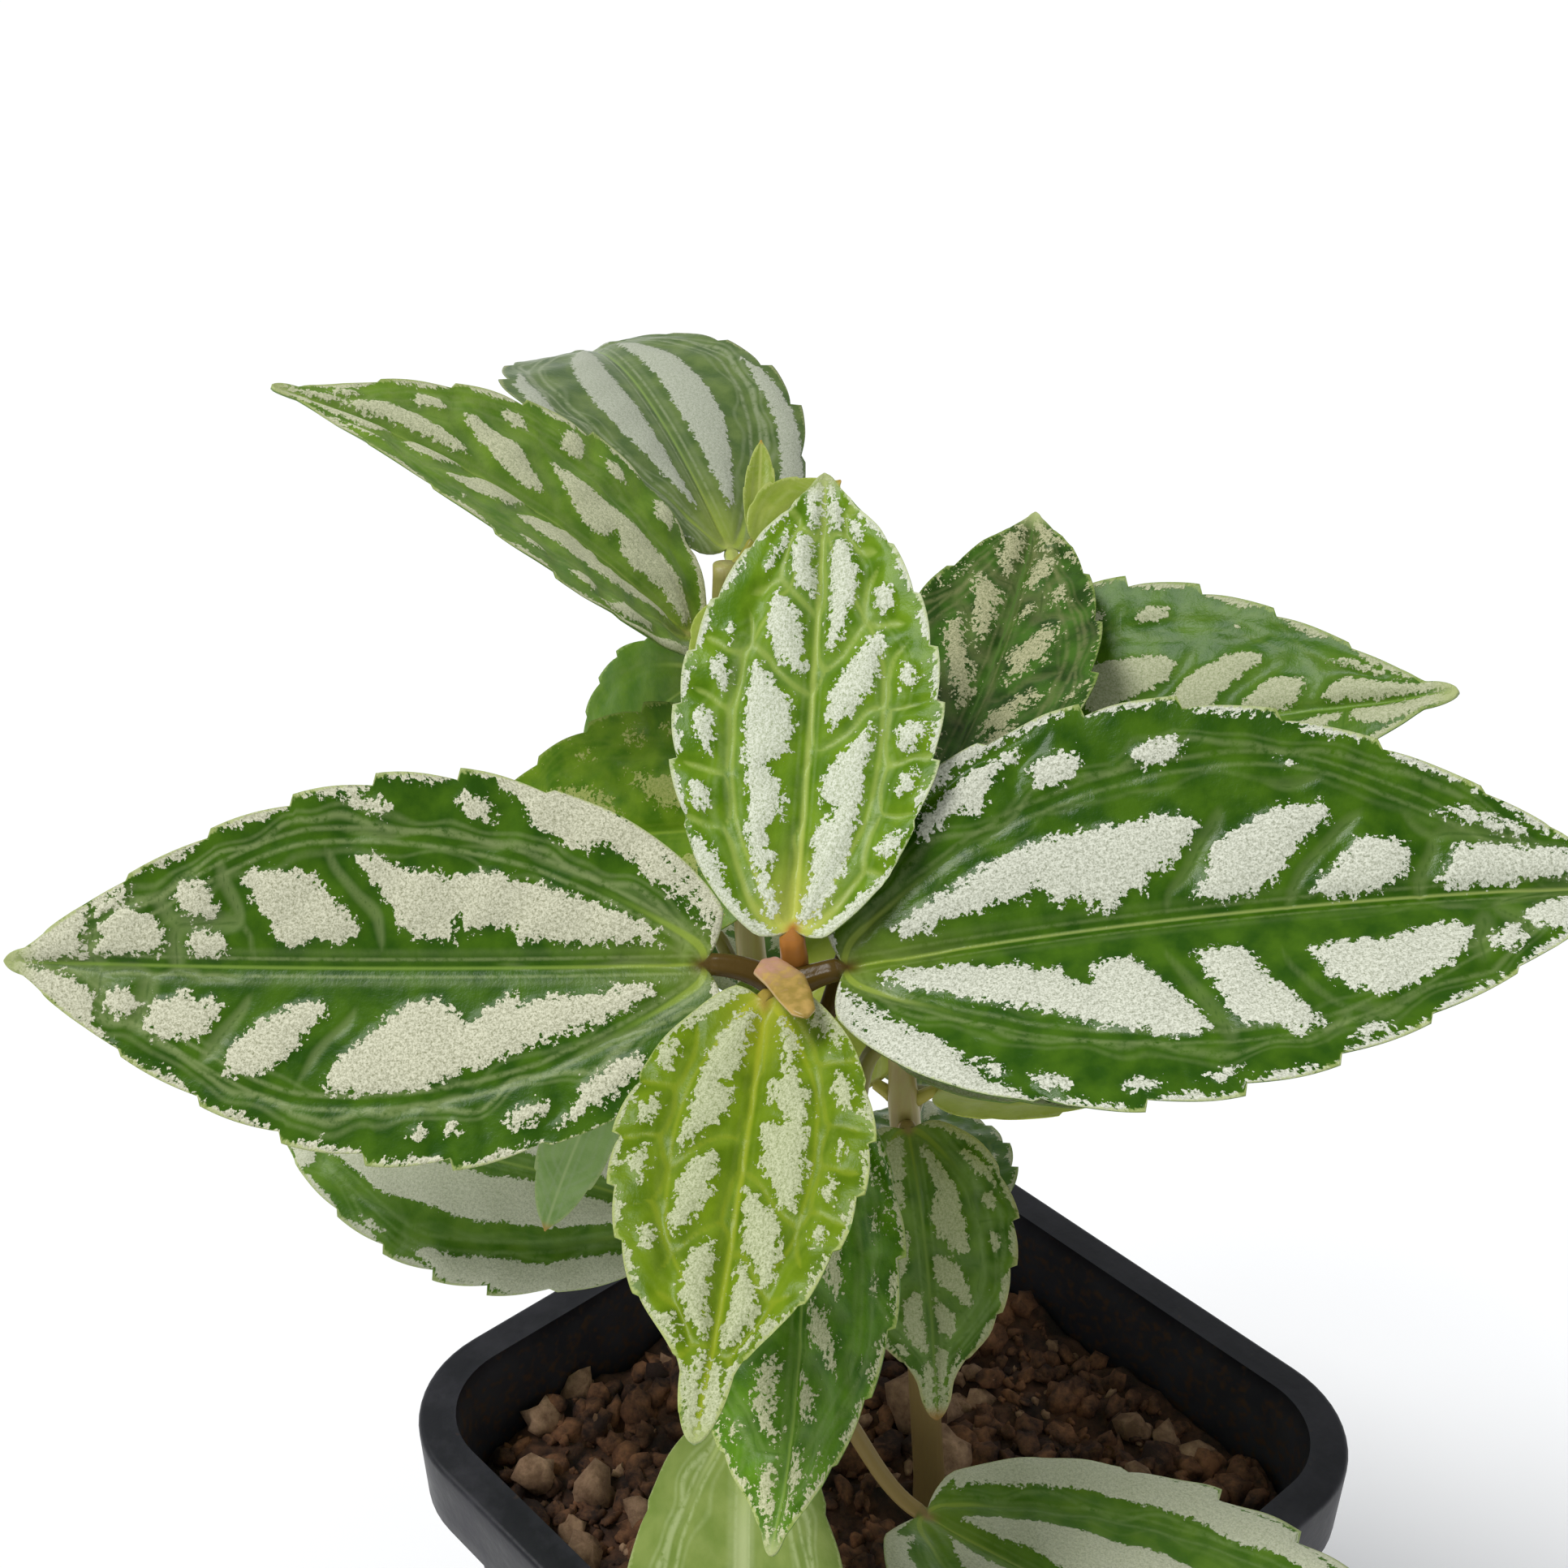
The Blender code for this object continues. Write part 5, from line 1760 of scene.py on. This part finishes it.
@dataclass(frozen=True)
class StipuleBud:
    """The folded stipule that lies over the front leaf's stalk."""

    root: Point = (9.5, -26.1, 185.3)
    tip: Point = (18.8, -30.2, 185.9)
    sides: int = 40
    steps: int = 36

    def build(self, material: Material) -> None:
        """Model the bud, dress it and tie it to its node.

        Args:
            material: The finished stipule skin.
        """
        root = np.array(self.root)
        tip = np.array(self.tip)
        forward = (tip - root) / np.linalg.norm(tip - root)
        across = np.cross(forward, np.array((0.0, 0.0, 1.0)))
        across = across / np.linalg.norm(across)
        up = np.cross(across, forward)
        shares = np.linspace(0.0, 1.0, self.steps)
        table = (0.0, 0.14, 0.36, 0.66, 0.92, 1.0)
        wide = np.interp(shares, table, (1.0, 1.8, 1.95, 1.65, 1.15, 0.3))
        high = np.interp(shares, table, (0.5, 0.8, 0.85, 0.7, 0.5, 0.2))
        bend = np.interp(shares, table, (0.2, 0.45, -0.15, -0.1, 0.0, 0.0))
        angle = np.linspace(0.0, 2.0 * math.pi, self.sides, endpoint=False)
        rings = []
        marks = []
        for share, half_wide, half_high, shift in zip(shares, wide, high, bend):
            centre = root + (tip - root) * share + across * shift
            crease = 1.0 - 0.2 * bell(angle - math.pi / 2.0, 0.35)
            overlap = 1.0 + 0.12 * bell(angle - 0.8, 0.2)
            sideways = (half_wide * overlap * np.cos(angle))[:, None] * across
            lift = (half_high * crease * np.sin(angle))[:, None] * up
            rings.append(centre + sideways + lift)
            marks.append(np.c_[np.full(self.sides, share), np.cos(angle), 0.0 * angle])
        piece = loft("stipule_bud_dressed", np.array(rings), {"marks": np.array(marks)})
        piece.data.materials.append(material)
        settle(piece, "bud_skin", "stipule_bud")


# Pot and potting mix

def rounded_square(side: float, corner: float, height: float, steps: int) -> np.ndarray:
    """Return one ring of points around a square with rounded corners.

    Args:
        side: The square's side in millimetres.
        corner: The corner radius in millimetres.
        height: The ring's height in millimetres.
        steps: How many steps a corner and a flat side each have.

    Returns:
        The ring's points.
    """
    half = side / 2.0 - corner
    points = []
    for quarter in range(4):
        centre_x = half if quarter in (0, 3) else -half
        centre_y = half if quarter in (0, 1) else -half
        for step in range(steps + 1):
            angle = math.radians(90.0 * quarter + 90.0 * step / steps)
            x = centre_x + corner * math.cos(angle)
            y = centre_y + corner * math.sin(angle)
            points.append((x, y, height))
        turn = math.radians(90.0 * (quarter + 1))
        ahead = np.array((-math.sin(turn), math.cos(turn), 0.0))
        last = np.array(points[-1])
        for step in range(1, steps):
            points.append(tuple(last + ahead * (2.0 * half * step / steps)))
    return np.array(points)


def wall_ring(height: float, inset: float, steps: int) -> np.ndarray:
    """Return a ring on the pot's tapered wall, moved inwards by the inset.

    Args:
        height: The height in millimetres.
        inset: How far in from the outer face, in millimetres.
        steps: How many steps a corner and a flat side each have.

    Returns:
        The ring's points.
    """
    share = height / POT_HEIGHT
    top = POT_RIM - 2.0 * FLANGE + 2.0 * POT_WALL
    side = POT_BASE + (top - POT_BASE) * share
    top_corner = POT_RIM_CORNER - FLANGE + POT_WALL
    corner = POT_BASE_CORNER + (top_corner - POT_BASE_CORNER) * share
    return rounded_square(side - 2.0 * inset, corner - inset, height, steps)


@dataclass(frozen=True)
class NurseryPot:
    """Moulded square pot: tapered wall, flat rim, hanging band, four drains."""

    steps: int = 14
    lip: float = 0.7
    band_foot: float = 0.3
    band_taper: float = 0.4
    drain_sides: int = 40
    drill_depth: float = 6.0
    sharp_angle: float = 50.0

    def rings(self) -> tuple[np.ndarray, list[float]]:
        """Work out the pot's rings, from the underside round to the floor.

        Returns:
            The ring points, and how muddy each ring is, about one inside.
        """
        lip = self.lip
        steps = self.steps
        band = POT_HEIGHT - BAND_HEIGHT
        flange = POT_HEIGHT - POT_WALL
        corner = POT_RIM_CORNER
        inner = POT_RIM - 2.0 * POT_WALL
        foot = band + self.band_foot
        rings = []
        mud = []
        for height, inset in ((0.0, 1.0), (0.1, 0.5), (0.5, 0.1), (1.0, 0.0)):
            rings.append(wall_ring(height, inset, steps))
            mud.append(0.6)
        for height in np.linspace(4.0, flange - 0.4, 16):
            rings.append(wall_ring(height, 0.0, steps))
            mud.append(0.4)
        squares = [
            (inner - 0.6, corner - POT_WALL, flange),
            (inner - 0.1, corner - POT_WALL, flange - 0.5),
            (inner - 0.8, corner - POT_WALL - 0.4, band),
            (POT_RIM - 1.2, corner - 0.6, band),
        ]
        for share in (0.0, 0.25, 0.5, 0.75, 1.0):
            height = foot + (POT_HEIGHT - lip - band - self.band_foot) * share
            inset = self.band_taper * (1.0 - share)
            squares.append((POT_RIM - 2.0 * inset, corner - inset, height))
        for square in squares:
            rings.append(rounded_square(*square, steps))
            mud.append(0.4)
        for turn in (30.0, 60.0, 90.0):
            drop = lip * (1.0 - math.sin(math.radians(turn)))
            inset = lip * (1.0 - math.cos(math.radians(turn)))
            side = POT_RIM - 2.0 * inset
            rings.append(rounded_square(side, corner - inset, POT_HEIGHT - drop, steps))
            mud.append(0.5)
        for turn in (90.0, 60.0, 30.0, 0.0):
            drop = lip * (1.0 - math.sin(math.radians(turn)))
            inset = POT_WALL - lip * math.cos(math.radians(turn))
            rings.append(wall_ring(POT_HEIGHT - drop, inset, steps))
            mud.append(0.8)
        for height in np.linspace(POT_HEIGHT - 3.0, POT_FLOOR + 1.0, 14):
            rings.append(wall_ring(height, POT_WALL, steps))
            mud.append(1.05)
        rings.append(wall_ring(POT_FLOOR, POT_WALL + 1.0, steps))
        mud.append(1.0)
        return np.array(rings), mud

    def build(self, material: Material) -> None:
        """Model the pot, drill its drains, dress it and tie it to its node.

        Args:
            material: The finished plastic.
        """
        rings, mud = self.rings()
        marks = np.zeros(rings.shape)
        marks[..., 0] = np.array(mud)[:, None]
        piece = loft("pot_dressed", rings, {"marks": marks})
        drills = bmesh.new()
        for sign_x in (-1.0, 1.0):
            for sign_y in (-1.0, 1.0):
                place = Vector((sign_x * DRAIN_OFFSET, sign_y * DRAIN_OFFSET, 1.0)) * MM
                bmesh.ops.create_cone(
                    drills, cap_ends=True, segments=self.drain_sides,
                    depth=self.drill_depth * MM, radius1=DRAIN_RADIUS * MM,
                    radius2=DRAIN_RADIUS * MM, matrix=Matrix.Translation(place),
                )
        drill = finish_mesh(drills, "drain_drill")
        cut = piece.modifiers.new("drains", "BOOLEAN")
        cut.object = drill
        cut.operation = "DIFFERENCE"
        cut.solver = "EXACT"
        graph = bpy.context.evaluated_depsgraph_get()
        drilled = bpy.data.meshes.new_from_object(piece.evaluated_get(graph))
        piece.modifiers.clear()
        piece.data = drilled
        bpy.data.objects.remove(drill)
        piece.data.set_sharp_from_angle(angle=math.radians(self.sharp_angle))
        piece.data.materials.clear()
        piece.data.materials.append(material)
        settle(piece, "pot_plastic", "pot")


def soil_height(x: float, y: float) -> float:
    """Work out the height of the soil's broad humps.

    Args:
        x: Place across, in millimetres.
        y: Place in depth, in millimetres.

    Returns:
        The height in millimetres.
    """
    waves = math.sin(0.31 * x + 0.9) * math.cos(0.27 * y - 0.4)
    small = math.sin(0.83 * x - 0.61 * y) * 0.35
    return SOIL_TOP + SOIL_HUMP * (0.6 * waves + small)


@dataclass(frozen=True)
class PottingMix:
    """Crumbly soil that fills the pot, with loose bark crumbs and grit on top.

    lumps holds the frequency and the height of each round of dents in a crumb, and chunks the
    place and the radius of each stone given one by one.
    Loose pieces are merged in lots, because one great mesh grows slowly.
    """

    steps: int = 44
    rings: int = 70
    bark_count: int = 2100
    grit_count: int = 260
    seed: int = 7
    lot_size: int = 40
    corner: float = 26.0
    lumps: tuple[tuple[float, float], ...] = ((1.5, 0.6), (3.5, 0.3))
    chunks: tuple[Point, ...] = (
        (-5.2, 12.6, 4.6), (2.6, 9.4, 3.7), (-38.0, -18.0, 2.6), (-36.5, -25.0, 2.9),
        (-23.3, -27.2, 3.0), (-29.2, -32.0, 2.7), (-16.0, -25.6, 2.2), (-16.0, -34.5, 2.8),
        (15.8, 31.3, 2.4), (23.6, 34.4, 2.7), (21.5, 24.5, 2.2),
    )

    def crumbly(self, x: float, y: float) -> float:
        """Work out the height of the crumbly surface.

        Args:
            x: Place across, in millimetres.
            y: Place in depth, in millimetres.

        Returns:
            The height in millimetres.
        """
        coarse = noise.noise(Vector((x * 0.28, y * 0.28, 1.7)))
        fine = noise.noise(Vector((x * 0.8, y * 0.8, 5.1)))
        return soil_height(x, y) + 0.9 * coarse + 0.7 * fine

    def bed(self, material: Material) -> None:
        """Model the soil's body with its crumbly top.

        Args:
            material: The finished potting mix.
        """
        inset = POT_WALL + GAP
        rings = [wall_ring(POT_FLOOR + GAP, inset, self.steps)]
        for height in (30.0, 60.0, SOIL_TOP - 2.5):
            rings.append(wall_ring(height, inset, self.steps))
        edge = wall_ring(SOIL_TOP, inset, self.steps)
        for share in np.linspace(0.985, 0.02, self.rings):
            ring = edge * share
            for point in ring:
                point[2] = self.crumbly(point[0], point[1])
            rings.append(ring)
        piece = loft("soil_dressed", np.array(rings))
        piece.data.materials.append(material)
        settle(piece, "potting_mix", "soil")

    def stones(self, name: str, count: int, sizes: tuple[float, float],
               material: Material, seed: int, first: tuple[Point, ...] = ()) -> None:
        """Scatter loose pieces over the soil, each sunk in by a third.

        Args:
            name: The piece's name.
            count: How many are laid.
            sizes: Smallest and largest radius in millimetres.
            material: Their finish.
            seed: Draws their places and shapes.
            first: Pieces with a place of their own, as x, y and radius.
        """
        draw = np.random.default_rng(seed)
        reach = POT_RIM / 2.0 - FLANGE - 3.2
        spots = list(first)
        for _ in range(count):
            x, y = draw.uniform(-reach, reach, 2)
            radius = sizes[0] + (sizes[1] - sizes[0]) * draw.random() ** 2.6
            if not self.blocked(x, y, radius):
                spots.append((x, y, radius))
        mesh = bmesh.new()
        lot = bmesh.new()
        store = bpy.data.meshes.new(name + "_lot")
        for index, (x, y, radius) in enumerate(spots):
            if index % self.lot_size == 0:
                lot.to_mesh(store)
                mesh.from_mesh(store)
                lot.clear()
            made = bmesh.ops.create_icosphere(lot, subdivisions=2, radius=1.0)
            offset = Vector(draw.uniform(0.0, 50.0, 3))
            for vertex in made["verts"]:
                lump = 1.0
                for often, deep in self.lumps:
                    lump += deep * noise.noise(vertex.co * often + offset)
                vertex.co = vertex.co * lump
            stretch = draw.uniform(0.4, 1.25, 3)
            if index < len(first):
                stretch = draw.uniform(0.75, 1.1, 3)
            turn = draw.uniform(0.0, math.tau, 3)
            spin = Matrix.Rotation(turn[0], 4, "X") @ Matrix.Rotation(turn[1], 4, "Y")
            size = Matrix.Diagonal((*(stretch * radius * MM), 1.0))
            place = Vector((x, y, self.crumbly(x, y) + radius * 0.2)) * MM
            shift = Matrix.Translation(place) @ spin @ size
            bmesh.ops.transform(lot, matrix=shift, verts=made["verts"])
        lot.to_mesh(store)
        mesh.from_mesh(store)
        lot.free()
        bpy.data.meshes.remove(store)
        piece = finish_mesh(mesh, name)
        piece.data.materials.append(material)
        settle(piece, "potting_mix")

    def blocked(self, x: float, y: float, radius: float) -> bool:
        """Tell whether a loose piece there would cut a stem or leave the bed.

        Args:
            x: Place across, in millimetres.
            y: Place in depth, in millimetres.
            radius: The piece's radius in millimetres.

        Returns:
            True if nothing may lie there.
        """
        for stem in (MAIN, CENTRE, REAR, SIDE):
            centre = stem.centre(SOIL_TOP)
            if math.hypot(x - centre[0], y - centre[1]) < stem.foot_radius + radius:
                return True
        over_x = max(abs(x) - self.corner, 0.0)
        over_y = max(abs(y) - self.corner, 0.0)
        room = POT_RIM / 2.0 - FLANGE - 1.6 - self.corner - radius
        return math.hypot(over_x, over_y) > room

    def build(self) -> None:
        """Build the soil's body and what lies loose on it."""
        mix = CrumbFinish("moist_potting_mix", dark="#1e1109", light="#62402a").build()
        bark = CrumbFinish("composted_bark", dark="#2a170e", light="#946644").build()
        grit = CrumbFinish("mineral_grit", dark="#70543c", light="#c09c7c").build()
        self.bed(mix)
        self.stones("bark_crumbs", self.bark_count, (0.35, 2.4), bark, self.seed)
        self.stones("grit_stones", self.grit_count, (0.4, 2.2), grit, self.seed + 1,
                    first=self.chunks)


# Studio

@dataclass(frozen=True)
class Studio:
    """Pale floor, soft light and the camera at the photograph's angle."""

    camera_place: Point = (135.3, -138.4, 302.3)
    camera_turn: tuple[Point, Point, Point] = (
        (0.6710, -0.3721, 0.6413),
        (0.7415, 0.3364, -0.5805),
        (0.0002, 0.8651, 0.5016),
    )
    lens: float = 50.0
    floor_half: float = 20.0
    world_strength: float = 0.5
    sun_from: Point = (-0.25, -0.5, 1.0)
    sun_strength: float = 2.3
    sun_angle: float = 24.0

    def build(self) -> None:
        """Set up floor, world, lights and camera."""
        scene = bpy.context.scene
        scene.view_settings.view_transform = "Standard"
        self.floor()
        world = bpy.data.worlds.new("studio")
        world.use_nodes = True
        shade = world.node_tree.nodes["Background"]
        shade.inputs["Color"].default_value = linear("#f4f6fa")
        shade.inputs["Strength"].default_value = self.world_strength
        scene.world = world
        self.sun()
        self.camera()

    def floor(self) -> None:
        """Lay the pale floor that the pot stands on."""
        mesh = bmesh.new()
        bmesh.ops.create_grid(mesh, x_segments=1, y_segments=1, size=self.floor_half)
        piece = finish_mesh(mesh, "studio_floor")
        material, shader = new_material("matt_white_paper")
        shader.inputs["Base Color"].default_value = linear("#fbfbfb")
        shader.inputs["Roughness"].default_value = 0.9
        piece.data.materials.append(material)

    def sun(self) -> None:
        """Hang one broad, soft sun."""
        data = bpy.data.lights.new("soft_sun", "SUN")
        data.angle = math.radians(self.sun_angle)
        data.energy = self.sun_strength
        lamp = bpy.data.objects.new("soft_sun", data)
        lamp.rotation_euler = Vector(self.sun_from).to_track_quat("Z", "Y").to_euler()
        bpy.context.scene.collection.objects.link(lamp)

    def camera(self) -> None:
        """Place the camera where the photograph was taken from."""
        data = bpy.data.cameras.new("camera")
        data.lens = self.lens
        data.clip_start = 0.01
        camera = bpy.data.objects.new("camera", data)
        turn = Matrix(self.camera_turn).to_4x4()
        place = Matrix.Translation(Vector(self.camera_place) * MM)
        camera.matrix_world = place @ turn
        bpy.context.scene.collection.objects.link(camera)
        bpy.context.scene.camera = camera


def main() -> None:
    """Load the frame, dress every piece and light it."""
    logging.basicConfig(level=logging.INFO, format="%(name)s: %(message)s")
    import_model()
    Studio().build()
    NurseryPot().build(PotFinish().build())
    PottingMix().build()
    stem_skin = StemFinish().build()
    for stem in (
        Stem(MAIN, (130.0, 161.0, 173.0, 182.0)),
        Stem(CENTRE, (116.0, 147.0, 150.0, 178.0)),
        Stem(REAR, (150.0, 183.0, 192.0, 200.0)),
        Stem(SIDE, (132.0, 156.0)),
    ):
        stem.build(stem_skin)
    skins = {}
    for leaf in LEAVES:
        if leaf.finish not in skins:
            skins[leaf.finish] = leaf.finish.build()
        leaf.build(skins[leaf.finish])
    StipuleBud().build(BudFinish().build())


if __name__ == "__main__":
    main()
